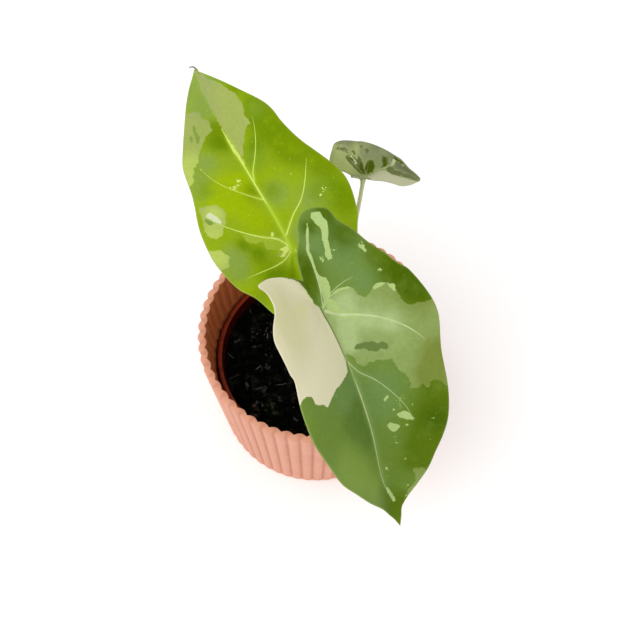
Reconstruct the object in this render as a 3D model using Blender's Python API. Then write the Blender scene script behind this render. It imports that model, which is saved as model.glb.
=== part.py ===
"""A small potted alocasia: three variegated leaves on their stalks, soil, nursery pot and fluted cover pot.

Metres, +Z up. The origin is the middle of the cover pot's flat underside, and +Y points away from the
side that the plant is mostly seen from.
"""

from dataclasses import dataclass
from math import atan2, ceil, cos, exp, hypot, pi, radians, sin, tau

import bmesh
import bpy
from mathutils import Matrix, Vector, noise
from mathutils.geometry import delaunay_2d_cdt

# Clearance between pieces that touch on the real plant
GAP = 0.0003

# Cover pot
POT_RIM_RADIUS = 0.0540
POT_BASE_RADIUS = 0.0485
POT_HEIGHT = 0.0740
POT_WALL = 0.0029
POT_FLOOR = 0.0030
POT_LIP = 0.0010
FLUTES = 58
FLUTE_DEPTH = 0.0011
POINTS_PER_FLUTE = 4
FLUTE_START_HEIGHT = 0.0022

# Nursery pot standing in the cover pot
NURSERY_HEIGHT = 0.0463
NURSERY_RIM_RADIUS = 0.0473
NURSERY_BODY_RADIUS = 0.0462
NURSERY_BASE_RADIUS = 0.0390
NURSERY_WALL = 0.0010
NURSERY_LIP_HEIGHT = 0.0030
NURSERY_SIDES = 72
DRAIN_HOLES = 6
DRAIN_HOLE_RADIUS = 0.0032
DRAIN_RING_RADIUS = 0.0240

# Soil in the nursery pot
SOIL_BELOW_RIM = 0.0050
SOIL_LUMP_HEIGHT = 0.0014
SOIL_LUMP_SIZE = 0.0085
SOIL_RINGS = 9
SOIL_SIDES = 60

# Stalks: how deep each stands in its hole, and the sides of its tube
STALK_DEPTH = 0.0160
STALK_POINTS = 22
STALK_BEVEL_RESOLUTION = 2

# Blades
BLADE_THICKNESS = 0.0007
VALLEY_WIDTH = 0.0025
DIMPLE_WIDTH = 0.0070

NURSERY_FOOT = POT_FLOOR + GAP
NURSERY_TOP = NURSERY_FOOT + NURSERY_HEIGHT
SOIL_TOP = NURSERY_TOP - SOIL_BELOW_RIM


@dataclass
class Leaf:
    """One leaf. Angles are in degrees; along runs from the stalk to the tip, across to the right of it."""

    name: str
    # where the stalk meets the blade
    joint: tuple
    # direction of the tip, clockwise from +Y, its climb at the stalk, and the roll about it
    heading: float
    pitch: float
    roll: float
    # how much the midrib bends down to the tip, and the lobes behind the stalk
    tip_droop: float
    lobe_droop: float
    # how steeply each half rises from the midrib, and how much it rolls back to its edge
    rise_left: float
    rise_right: float
    curl: float
    twist: float
    # depth of the hollow over the stalk
    dimple: float
    # height and number of the waves along the edge
    wave_height: float
    waves: int
    # the ridge under the midrib
    keel_depth: float
    keel_width: float
    mesh_size: float
    # edges of the flat blade, as (along, across), from the tip round a lobe to the bottom of the notch
    right_edge: list
    left_edge: list
    # the stalk: radius in the soil, at the soil and at the blade, and the route's named points
    root_radius: float
    foot_radius: float
    neck_radius: float
    foot: tuple
    upright: float
    shoulder: tuple
    neck_gap: float
    stalk_follows_blade: bool

    @property
    def length(self):
        return self.right_edge[0][0]

    @property
    def lobe_length(self):
        return -min(along for along, across in self.right_edge + self.left_edge)

    @property
    def half_width(self):
        return max(abs(across) for along, across in self.right_edge + self.left_edge)


LARGE_LEAF = Leaf(
    name="large_leaf",
    joint=(0.0020, -0.0244, 0.1380),
    heading=146,
    pitch=-36,
    roll=-21.5,
    tip_droop=25,
    lobe_droop=5,
    rise_left=48,
    rise_right=21,
    curl=2.5,
    twist=0,
    dimple=0.0008,
    wave_height=0.0006,
    waves=5,
    keel_depth=0.0010,
    keel_width=0.0015,
    mesh_size=0.0050,
    right_edge=[
        (0.1023, -0.0034), (0.0966, -0.0006), (0.0874, 0.0051), (0.0762, 0.0143), (0.0659, 0.0218),
        (0.0560, 0.0288), (0.0473, 0.0327), (0.0397, 0.0355), (0.0338, 0.0369), (0.0231, 0.0359),
        (0.0123, 0.0331), (0.0095, 0.0340), (0.0010, 0.0336), (-0.0065, 0.0306), (-0.0102, 0.0271),
        (-0.0132, 0.0257), (-0.0169, 0.0255), (-0.0206, 0.0275), (-0.0210, 0.0225), (-0.0197, 0.0171),
        (-0.0166, 0.0099), (-0.0130, 0.0030),
    ],
    left_edge=[
        (0.1023, -0.0034), (0.0966, -0.0044), (0.0920, -0.0052), (0.0867, -0.0087), (0.0813, -0.0136),
        (0.0751, -0.0187), (0.0626, -0.0266), (0.0559, -0.0301), (0.0431, -0.0335), (0.0299, -0.0351),
        (0.0175, -0.0379), (0.0073, -0.0371), (-0.0027, -0.0333), (-0.0133, -0.0271), (-0.0211, -0.0220),
        (-0.0266, -0.0186), (-0.0319, -0.0174), (-0.0348, -0.0116), (-0.0344, -0.0079), (-0.0318, -0.0049),
        (-0.0273, -0.0028), (-0.0207, 0.0010), (-0.0130, 0.0030),
    ],
    root_radius=0.0026,
    foot_radius=0.0024,
    neck_radius=0.0014,
    foot=(-0.0012, -0.0046),
    upright=0.0350,
    shoulder=(-0.0040, -0.0200, 0.1280),
    neck_gap=GAP,
    stalk_follows_blade=True,
)

PALE_LEAF = Leaf(
    name="pale_leaf",
    joint=(-0.0111, 0.0098, 0.1240),
    heading=-31,
    pitch=10,
    roll=-4,
    tip_droop=10,
    lobe_droop=6,
    rise_left=19,
    rise_right=22,
    curl=4,
    twist=0,
    dimple=0.0008,
    wave_height=0.0007,
    waves=6,
    keel_depth=0.0010,
    keel_width=0.0015,
    mesh_size=0.0050,
    right_edge=[
        (0.0994, 0.0031), (0.0900, 0.0076), (0.0765, 0.0148), (0.0635, 0.0215), (0.0577, 0.0229),
        (0.0511, 0.0233), (0.0379, 0.0257), (0.0239, 0.0314), (0.0106, 0.0332), (-0.0003, 0.0303),
        (-0.0083, 0.0260), (-0.0190, 0.0215), (-0.0275, 0.0165), (-0.0305, 0.0110), (-0.0270, 0.0070),
        (-0.0190, 0.0040), (-0.0130, 0.0000),
    ],
    left_edge=[
        (0.0994, 0.0031), (0.0912, -0.0022), (0.0826, -0.0077), (0.0735, -0.0127), (0.0592, -0.0200),
        (0.0496, -0.0243), (0.0366, -0.0266), (0.0182, -0.0312), (0.0037, -0.0313), (-0.0072, -0.0280),
        (-0.0148, -0.0229), (-0.0212, -0.0204), (-0.0275, -0.0170), (-0.0300, -0.0125), (-0.0270, -0.0080),
        (-0.0190, -0.0045), (-0.0130, 0.0000),
    ],
    root_radius=0.0024,
    foot_radius=0.0022,
    neck_radius=0.0013,
    foot=(-0.0040, 0.0026),
    upright=0.0300,
    shoulder=(-0.0114, 0.0118, 0.1120),
    neck_gap=GAP,
    stalk_follows_blade=True,
)

SMALL_LEAF = Leaf(
    name="small_leaf",
    joint=(0.0184, 0.0481, 0.1240),
    heading=98,
    pitch=30,
    roll=-12,
    tip_droop=60,
    lobe_droop=2,
    rise_left=56,
    rise_right=34,
    curl=6,
    twist=85,
    dimple=0.0047,
    wave_height=0.0,
    waves=0,
    keel_depth=0.0003,
    keel_width=0.0008,
    mesh_size=0.0019,
    right_edge=[
        (0.0252, 0.0000), (0.0234, 0.0030), (0.0200, 0.0054), (0.0153, 0.0061), (0.0113, 0.0068),
        (0.0059, 0.0095), (0.0000, 0.0115), (-0.0070, 0.0125), (-0.0120, 0.0105), (-0.0140, 0.0060),
        (-0.0115, 0.0025), (-0.0060, 0.0000),
    ],
    left_edge=[
        (0.0252, 0.0000), (0.0234, -0.0021), (0.0184, -0.0041), (0.0135, -0.0066), (0.0070, -0.0091),
        (-0.0007, -0.0117), (-0.0082, -0.0133), (-0.0110, -0.0127), (-0.0126, -0.0102), (-0.0144, -0.0064),
        (-0.0140, -0.0036), (-0.0110, -0.0016), (-0.0060, 0.0000),
    ],
    root_radius=0.0018,
    foot_radius=0.0017,
    neck_radius=0.0008,
    foot=(0.0046, 0.0022),
    upright=0.0120,
    shoulder=(0.0160, 0.0360, 0.1000),
    neck_gap=0.0011,
    stalk_follows_blade=False,
)

LEAVES = (LARGE_LEAF, PALE_LEAF, SMALL_LEAF)


def clear_scene():
    for obj in list(bpy.data.objects):
        bpy.data.objects.remove(obj, do_unlink=True)


def finish(name, color, roughness):
    material = bpy.data.materials.new(name)
    material.use_nodes = True
    shader = material.node_tree.nodes["Principled BSDF"]
    shader.inputs["Base Color"].default_value = (*color, 1.0)
    shader.inputs["Roughness"].default_value = roughness
    shader.inputs["Metallic"].default_value = 0.0
    return material


def add_object(name, bm, material, smooth=True):
    mesh = bpy.data.meshes.new(name)
    bm.to_mesh(mesh)
    bm.free()
    if smooth:
        mesh.shade_smooth()
        mesh.set_sharp_from_angle(angle=radians(35))
    mesh.materials.append(material)
    obj = bpy.data.objects.new(name, mesh)
    bpy.context.scene.collection.objects.link(obj)
    return obj


def turned(bm, rings, ring_point, sides):
    """Closed body from rings that run up the outside, over the rim and down to the inner floor.

    ring_point(ring, turn) gives a point, with turn from 0 to 1 round the axis.
    """
    loops = []
    for ring in rings:
        loops.append([bm.verts.new(ring_point(ring, k / sides)) for k in range(sides)])
    for lower, upper in zip(loops, loops[1:]):
        for k in range(sides):
            after = (k + 1) % sides
            bm.faces.new((lower[k], lower[after], upper[after], upper[k]))
    for loop, outward in ((loops[0], False), (loops[-1], True)):
        middle = bm.verts.new(Vector((0, 0, loop[0].co.z)))
        for k in range(sides):
            pair = (loop[k], loop[(k + 1) % sides])
            bm.faces.new((*(pair if outward else reversed(pair)), middle))


def pot_radius(height):
    return POT_BASE_RADIUS + (POT_RIM_RADIUS - POT_BASE_RADIUS) * height / POT_HEIGHT


def cover_pot(material):
    """Fluted wall of even thickness: the ridges outside lie over the notches inside."""

    def outer(height, inset=0.0, flute=1.0):
        return ("outer", pot_radius(height) - inset, height, flute)

    def inner(height, outset=0.0):
        return ("inner", pot_radius(height) - POT_WALL + outset, height, 1.0)

    rings = [
        outer(0.0, inset=FLUTE_DEPTH + 0.0008, flute=0.0),
        outer(0.0006, inset=0.0008, flute=0.7),
        outer(FLUTE_START_HEIGHT),
        outer(POT_HEIGHT - POT_LIP),
        outer(POT_HEIGHT - 0.3 * POT_LIP, inset=0.3 * POT_LIP),
        outer(POT_HEIGHT, inset=0.9 * POT_LIP),
        inner(POT_HEIGHT, outset=0.3 * POT_LIP),
        inner(POT_HEIGHT - 0.4 * POT_LIP),
        inner(POT_FLOOR),
    ]

    def point(ring, turn):
        side, radius, height, flute = ring
        phase = pi * FLUTES * turn
        wave = abs(cos(phase)) if side == "outer" else 1.0 - abs(sin(phase))
        radius -= flute * FLUTE_DEPTH * (1.0 - wave)
        return Vector((radius * cos(tau * turn), radius * sin(tau * turn), height))

    bm = bmesh.new()
    turned(bm, rings, point, FLUTES * POINTS_PER_FLUTE)
    return add_object("cover_pot", bm, material)


def nursery_radius(height):
    climb = (height - NURSERY_FOOT) / NURSERY_HEIGHT
    return NURSERY_BASE_RADIUS + (NURSERY_BODY_RADIUS - NURSERY_BASE_RADIUS) * climb


def round_point(ring, turn):
    radius, height = ring
    return Vector((radius * cos(tau * turn), radius * sin(tau * turn), height))


def cutter(name, bm):
    mesh = bpy.data.meshes.new(name)
    bm.to_mesh(mesh)
    bm.free()
    obj = bpy.data.objects.new(name, mesh)
    obj.hide_render = True
    obj.display_type = "WIRE"
    bpy.context.scene.collection.objects.link(obj)
    return obj


def cut(obj, tool):
    boolean = obj.modifiers.new("cut", "BOOLEAN")
    boolean.operation = "DIFFERENCE"
    boolean.object = tool


def upright_cylinders(places, low, high, segments):
    """Cylinders for (x, y, radius) places, in one mesh."""
    bm = bmesh.new()
    for x, y, radius in places:
        bmesh.ops.create_cone(
            bm,
            cap_ends=True,
            segments=segments,
            radius1=radius,
            radius2=radius,
            depth=high - low,
            matrix=Matrix.Translation((x, y, (low + high) / 2)),
        )
    return bm


def nursery_pot(material):
    lip_foot = NURSERY_TOP - NURSERY_LIP_HEIGHT
    inside_top = nursery_radius(NURSERY_TOP) - NURSERY_WALL
    floor_top = NURSERY_FOOT + NURSERY_WALL
    rings = [
        (NURSERY_BASE_RADIUS - 0.0008, NURSERY_FOOT),
        (NURSERY_BASE_RADIUS, NURSERY_FOOT + 0.0008),
        (nursery_radius(lip_foot), lip_foot),
        (NURSERY_RIM_RADIUS, lip_foot + 0.0004),
        (NURSERY_RIM_RADIUS, NURSERY_TOP - 0.0004),
        (NURSERY_RIM_RADIUS - 0.0004, NURSERY_TOP),
        (inside_top + 0.0002, NURSERY_TOP),
        (inside_top, NURSERY_TOP - 0.0003),
        (nursery_radius(floor_top) - NURSERY_WALL, floor_top),
    ]
    bm = bmesh.new()
    turned(bm, rings, round_point, NURSERY_SIDES)
    pot = add_object("nursery_pot", bm, material)
    ring = [
        (DRAIN_RING_RADIUS * cos(tau * k / DRAIN_HOLES), DRAIN_RING_RADIUS * sin(tau * k / DRAIN_HOLES))
        for k in range(DRAIN_HOLES)
    ]
    places = [(x, y, DRAIN_HOLE_RADIUS) for x, y in ring]
    holes = upright_cylinders(places, NURSERY_FOOT - 0.002, floor_top + 0.002, 16)
    cut(pot, cutter("drain_holes", holes))
    return pot


def soil_height(x, y):
    """The loose top of the soil: lumps, and a slight fall towards the pot's wall."""
    place = Vector((x, y, 0)) / SOIL_LUMP_SIZE
    lumps = noise.noise(place) + 0.5 * noise.noise(2.1 * place + Vector((7, 3, 1)))
    edge = (hypot(x, y) / NURSERY_BODY_RADIUS) ** 4
    return SOIL_TOP + SOIL_LUMP_HEIGHT * (lumps * (1.0 - 0.6 * edge) - 0.8 * edge)


def soil(material):
    floor = NURSERY_FOOT + NURSERY_WALL + GAP
    top_radius = nursery_radius(SOIL_TOP - 0.0020) - NURSERY_WALL - GAP
    rings = [(nursery_radius(floor) - NURSERY_WALL - GAP, floor), (top_radius, SOIL_TOP - 0.0020)]
    rings += [(top_radius * (1 - k / SOIL_RINGS), None) for k in range(1, SOIL_RINGS)]
    bm = bmesh.new()

    def point(ring, turn):
        radius, height = ring
        x = radius * cos(tau * turn)
        y = radius * sin(tau * turn)
        return Vector((x, y, soil_height(x, y) if height is None else height))

    turned(bm, rings, point, SOIL_SIDES)
    bm.verts.ensure_lookup_table()
    bm.verts[-1].co.z = soil_height(0, 0)
    body = add_object("soil", bm, material)
    places = [(*leaf.foot, leaf.root_radius + GAP) for leaf in LEAVES]
    bottom = SOIL_TOP - STALK_DEPTH - GAP
    cut(body, cutter("stalk_holes", upright_cylinders(places, bottom, SOIL_TOP + 0.006, 20)))
    return body


def blade_axes(leaf):
    """Directions of the tip, of the right side and of the upper face, at the stalk."""
    heading, pitch, roll = (radians(angle) for angle in (leaf.heading, leaf.pitch, leaf.roll))
    ahead = Vector((sin(heading) * cos(pitch), cos(heading) * cos(pitch), sin(pitch)))
    level = Vector((cos(heading), -sin(heading), 0))
    up = level.cross(ahead)
    right = cos(roll) * level - sin(roll) * up
    return ahead, right, sin(roll) * level + cos(roll) * up


def bent(leaf, along, across, lift=0.0):
    """Where a point of the flat blade lies once its midrib, halves and lobes are bent."""
    ahead, right, up = blade_axes(leaf)
    if along >= 0:
        droop = radians(leaf.tip_droop) * along / leaf.length
    else:
        droop = -radians(leaf.lobe_droop) * along / leaf.lobe_length
    forward = along * cos(droop / 2)
    height = -abs(along) * sin(droop / 2)
    tilt = -droop if along >= 0 else droop

    away = abs(across)
    rise = leaf.rise_right if across >= 0 else leaf.rise_left
    valley = VALLEY_WIDTH * leaf.half_width / LARGE_LEAF.half_width
    slope = radians(rise * away / (away + valley) - leaf.curl * away / leaf.half_width)
    side = across * cos(slope)
    rising = away * sin(slope)
    twist = radians(leaf.twist) * max(along, 0.0) / leaf.length
    side, rising = side * cos(twist) + rising * sin(twist), rising * cos(twist) - side * sin(twist)

    hollow = leaf.dimple * (1.0 - exp(-((hypot(along, across) / DIMPLE_WIDTH) ** 2)))
    forward -= rising * sin(tilt)
    height += rising * cos(tilt) + hollow + lift
    return Vector(leaf.joint) + forward * ahead + side * right + height * up


def upper_normal(leaf, along, across):
    step = 0.0004
    ahead = bent(leaf, along + step, across) - bent(leaf, along - step, across)
    right = bent(leaf, along, across + step) - bent(leaf, along, across - step)
    return right.cross(ahead).normalized()


def smooth_line(points, spacing):
    """Evenly spaced points on the centripetal Catmull-Rom curve through the given ones."""
    points = [Vector(p) for p in points]
    ends = [2 * points[0] - points[1], *points, 2 * points[-1] - points[-2]]
    dense = []
    for p0, p1, p2, p3 in zip(ends, ends[1:], ends[2:], ends[3:]):
        t1 = (p1 - p0).length ** 0.5
        t2 = t1 + (p2 - p1).length ** 0.5
        t3 = t2 + (p3 - p2).length ** 0.5
        for k in range(12):
            t = t1 + (t2 - t1) * k / 12
            a1 = p0.lerp(p1, t / t1)
            a2 = p1.lerp(p2, (t - t1) / (t2 - t1))
            a3 = p2.lerp(p3, (t - t2) / (t3 - t2))
            b1 = a1.lerp(a2, t / t2)
            b2 = a2.lerp(a3, (t - t1) / (t3 - t1))
            dense.append(b1.lerp(b2, (t - t1) / (t2 - t1)))
    dense.append(points[-1])
    reach = [0.0]
    for before, after in zip(dense, dense[1:]):
        reach.append(reach[-1] + (after - before).length)
    count = max(2, round(reach[-1] / spacing))
    spaced = []
    at = 0
    for k in range(count + 1):
        want = reach[-1] * k / count
        while at < len(dense) - 2 and reach[at + 1] < want:
            at += 1
        part = (want - reach[at]) / (reach[at + 1] - reach[at])
        spaced.append(dense[at].lerp(dense[at + 1], part))
    return spaced


def inside(outline, point):
    """Whether a flat point lies within the closed outline."""
    crossings = 0
    for a, b in zip(outline, outline[1:] + outline[:1]):
        if (a.y > point.y) != (b.y > point.y):
            crossings += point.x < a.x + (b.x - a.x) * (point.y - a.y) / (b.y - a.y)
    return crossings % 2 == 1


def blade_outline(leaf):
    right = smooth_line(leaf.right_edge, leaf.mesh_size)
    left = smooth_line(leaf.left_edge, leaf.mesh_size)
    return right + left[-2:0:-1]


def midrib_across(leaf, along):
    """The midrib keeps to the middle, and swings to the tip over the last half of the blade."""
    tip = leaf.right_edge[0][1]
    part = max(0.0, along / leaf.length - 0.5) / 0.5
    return tip * part**2


def flat_points(leaf, outline):
    """Points within the outline: the midrib with a line on each side of it, and a field of even triangles."""
    size = leaf.mesh_size
    notch = leaf.right_edge[-1][0]
    ribs = []
    steps = ceil((leaf.length - notch) / size)
    for k in range(1, steps):
        along = notch + (leaf.length - notch) * k / steps
        for offset in (-leaf.keel_width, 0.0, leaf.keel_width):
            ribs.append(Vector((along, midrib_across(leaf, along) + offset)))
    field = []
    row_height = size * 0.866
    rows = ceil(leaf.half_width / row_height)
    for row in range(-rows, rows + 1):
        shift = 0.5 * size * (row % 2)
        columns = ceil((leaf.length + leaf.lobe_length) / size) + 1
        for column in range(columns):
            point = Vector((-leaf.lobe_length + column * size + shift, row * row_height))
            if all((point - rib).length > 0.75 * size for rib in ribs):
                field.append(point)
    margin = 0.45 * size
    return [
        point
        for point in ribs + field
        if inside(outline, point) and min((point - edge).length for edge in outline) > margin * (point in field)
        and min((point - edge).length for edge in outline) > 0.15 * size
    ]


def waved_lift(leaf, outline, point):
    """Waves that rise and fall along the edge and fade within a few millimetres of it."""
    if not leaf.waves:
        return 0.0
    edge = min((point - other).length for other in outline)
    turn = atan2(point.y, point.x)
    return leaf.wave_height * sin(leaf.waves * 2 * turn + 0.6) * exp(-edge / 0.007)


def blade_thickness(leaf, point):
    """The blade, and the keel under its midrib, which thins out to the tip."""
    offset = abs(point.y - midrib_across(leaf, point.x))
    ridge = max(0.0, 1.0 - offset / leaf.keel_width)
    if point.x > 0:
        ridge *= max(0.0, 1.0 - point.x / leaf.length) ** 0.7
    else:
        ridge *= max(0.0, 1.0 + point.x / leaf.lobe_length)
    return BLADE_THICKNESS + leaf.keel_depth * ridge


def blade(leaf, material):
    """One blade, with the same triangles on its upper and its lower face."""
    outline = blade_outline(leaf)
    points = outline + flat_points(leaf, outline)
    border = [(k, (k + 1) % len(outline)) for k in range(len(outline))]
    flat, edges, faces = delaunay_2d_cdt(points, border, [], 1, 1e-7)[:3]
    bm = bmesh.new()
    upper = []
    lower = []
    for point in flat:
        lift = waved_lift(leaf, outline, point)
        top = bent(leaf, point.x, point.y, lift)
        upper.append(bm.verts.new(top))
        lower.append(bm.verts.new(top - blade_thickness(leaf, point) * upper_normal(leaf, point.x, point.y)))
    for face in faces:
        bm.faces.new([upper[k] for k in face])
        bm.faces.new([lower[k] for k in reversed(face)])
    rim = [edge for edge in bm.edges if len(edge.link_faces) == 1]
    pair = dict(zip(upper, lower))
    for edge in rim:
        if edge.verts[0] in pair:
            a, b = edge.verts
            bm.faces.new((a, b, pair[b], pair[a]))
    bmesh.ops.recalc_face_normals(bm, faces=bm.faces)
    return add_object(leaf.name + "_blade", bm, material)


def bezier(points, t):
    while len(points) > 1:
        points = [a.lerp(b, t) for a, b in zip(points, points[1:])]
    return points[0]


def stalk_route(leaf):
    """From the bottom of its hole straight up to the soil, then in one long bend to the blade."""
    foot = Vector((*leaf.foot, SOIL_TOP))
    under = BLADE_THICKNESS + leaf.keel_depth + leaf.neck_gap
    up = blade_axes(leaf)[2]
    top = Vector(leaf.joint) - under * up
    bend = [foot, foot + Vector((0, 0, leaf.upright)), Vector(leaf.shoulder), top]
    if leaf.stalk_follows_blade:
        bend.insert(3, top - 0.006 * up)
    count = STALK_POINTS - 1
    return [foot - Vector((0, 0, STALK_DEPTH))] + [bezier(bend, k / count) for k in range(STALK_POINTS)]


def stalk(leaf, material):
    route = stalk_route(leaf)
    curve = bpy.data.curves.new(leaf.name + "_stalk", "CURVE")
    curve.dimensions = "3D"
    curve.bevel_depth = 1.0
    curve.bevel_resolution = STALK_BEVEL_RESOLUTION
    curve.use_fill_caps = True
    spline = curve.splines.new("POLY")
    spline.points.add(len(route) - 1)
    for k, (point, place) in enumerate(zip(spline.points, route)):
        point.co = (*place, 1.0)
        climb = max(0.0, (k - 1) / (STALK_POINTS - 1))
        radius = leaf.neck_radius + (leaf.foot_radius - leaf.neck_radius) * (1.0 - climb) ** 1.4
        point.radius = leaf.root_radius if k == 0 else radius
    curve.materials.append(material)
    obj = bpy.data.objects.new(leaf.name + "_stalk", curve)
    bpy.context.scene.collection.objects.link(obj)
    return obj


def main():
    clear_scene()
    cover_pot(finish("cover_pot", (0.72, 0.33, 0.24), 0.55))
    nursery_pot(finish("nursery_pot", (0.13, 0.021, 0.008), 0.5))
    soil(finish("soil", (0.009, 0.006, 0.005), 0.95))
    greens = {
        "large_leaf": ((0.10, 0.20, 0.05), (0.35, 0.42, 0.20)),
        "pale_leaf": ((0.29, 0.45, 0.02), (0.38, 0.45, 0.12)),
        "small_leaf": ((0.28, 0.36, 0.14), (0.38, 0.43, 0.20)),
    }
    for leaf in LEAVES:
        blade_color, stalk_color = greens[leaf.name]
        blade(leaf, finish(leaf.name + "_blade", blade_color, 0.4))
        stalk(leaf, finish(leaf.name + "_stalk", stalk_color, 0.45))


main()
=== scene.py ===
"""Looks of a small potted alocasia: fluted cover pot, nursery pot, soil, stalks and variegated blades.

Metres, +Z up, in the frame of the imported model. The flat leaves are in millimetres.
"""

import random
from dataclasses import dataclass
from math import cos, exp, hypot, radians, sin, tau

import bmesh
import bpy
import numpy as np
from bpy.props import FloatProperty, FloatVectorProperty, IntProperty, PointerProperty
from mathutils import Euler, Matrix, Vector, noise


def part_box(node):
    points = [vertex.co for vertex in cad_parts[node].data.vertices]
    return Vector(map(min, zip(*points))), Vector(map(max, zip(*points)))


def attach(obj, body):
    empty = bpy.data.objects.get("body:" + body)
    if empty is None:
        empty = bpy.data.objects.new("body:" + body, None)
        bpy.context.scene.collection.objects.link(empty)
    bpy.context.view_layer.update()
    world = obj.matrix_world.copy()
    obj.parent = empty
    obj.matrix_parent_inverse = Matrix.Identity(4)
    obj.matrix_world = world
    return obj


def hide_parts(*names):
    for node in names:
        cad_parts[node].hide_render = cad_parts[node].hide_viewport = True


bl_info = {
    "name": "Potted Alocasia",
    "version": (1, 0, 0),
    "blender": (4, 5, 0),
    "location": "View3D > Sidebar > Alocasia",
    "description": "Dresses a variegated alocasia, its soil, its nursery pot and its fluted cover pot",
    "category": "Object",
}

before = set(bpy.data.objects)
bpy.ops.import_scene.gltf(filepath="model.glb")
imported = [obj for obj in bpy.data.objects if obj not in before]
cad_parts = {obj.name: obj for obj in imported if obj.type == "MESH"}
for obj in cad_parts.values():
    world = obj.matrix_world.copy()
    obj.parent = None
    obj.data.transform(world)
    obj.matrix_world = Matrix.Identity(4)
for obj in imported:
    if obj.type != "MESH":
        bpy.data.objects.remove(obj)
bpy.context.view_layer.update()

MM = 0.001
POT_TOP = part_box("cover_pot")[1][2]
NURSERY_FOOT, NURSERY_TOP = (corner[2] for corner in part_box("nursery_pot"))
SOIL_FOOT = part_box("soil")[0][2]
SOIL_BELOW_RIM = 0.0050
SOIL_TOP = NURSERY_TOP - SOIL_BELOW_RIM
SOIL_RADIUS = 0.0446
SOIL_FOOT_RADIUS = 0.0376
# Distances from the pots' middle: the soil's lumps flatten out, and the loose litter ends
LUMPS_END = 0.0462
CRUMB_REACH = 0.0435
CHIP_REACH = 0.0420
FIBRE_REACH = 0.0400
FIBRE_LIMIT = 0.0432
CRUMBLE_SIZE = 0.0022
CRUMBLE_HEIGHT = 0.0008


def srgb(red, green, blue):
    """Scene colour of a colour given as 0 to 255 on screen."""

    def linear(value):
        value /= 255
        return value / 12.92 if value <= 0.04045 else ((value + 0.055) / 1.055) ** 2.4

    return linear(red), linear(green), linear(blue)


def length_property(name, default, description):
    """A length in metres."""
    return FloatProperty(name=name, default=default, description=description, subtype="DISTANCE", precision=5)


def color_property(name, shown, description):
    """A colour property from the default's red, green and blue as shown on screen, 0 to 255."""
    return FloatVectorProperty(
        name=name, default=srgb(*shown), description=description, subtype="COLOR", size=3, min=0.0, max=1.0
    )


# The flat leaves


@dataclass
class Leaf:
    """One leaf, in millimetres and degrees. Points are (along, across): from the stalk to the tip, and right.

    A vein is its width at the root and its points, and a tone is soft spots of (along, across, radius). Halo
    is how strongly the veins tint the blade beside them. The colours are as shown on screen, 0 to 255.
    """

    name: str
    joint: tuple
    heading: float
    pitch: float
    roll: float
    tip_droop: float
    lobe_droop: float
    rise_left: float
    rise_right: float
    curl: float
    twist: float
    dimple: float
    wave_height: float
    waves: int
    heart: float
    right_edge: list
    left_edge: list
    midrib: list
    midrib_width: float
    veins: list
    stalk: dict
    rows: int
    columns: int
    marks: dict
    tones: dict
    halo: float
    colors: dict
    dark_line: tuple = ()
    hook: tuple = ()

    @property
    def length(self):
        return self.right_edge[0][0]

    @property
    def lobe_length(self):
        return -min(along for along, across in self.right_edge + self.left_edge)

    @property
    def half_width(self):
        return max(abs(across) for along, across in self.right_edge + self.left_edge)


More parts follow.
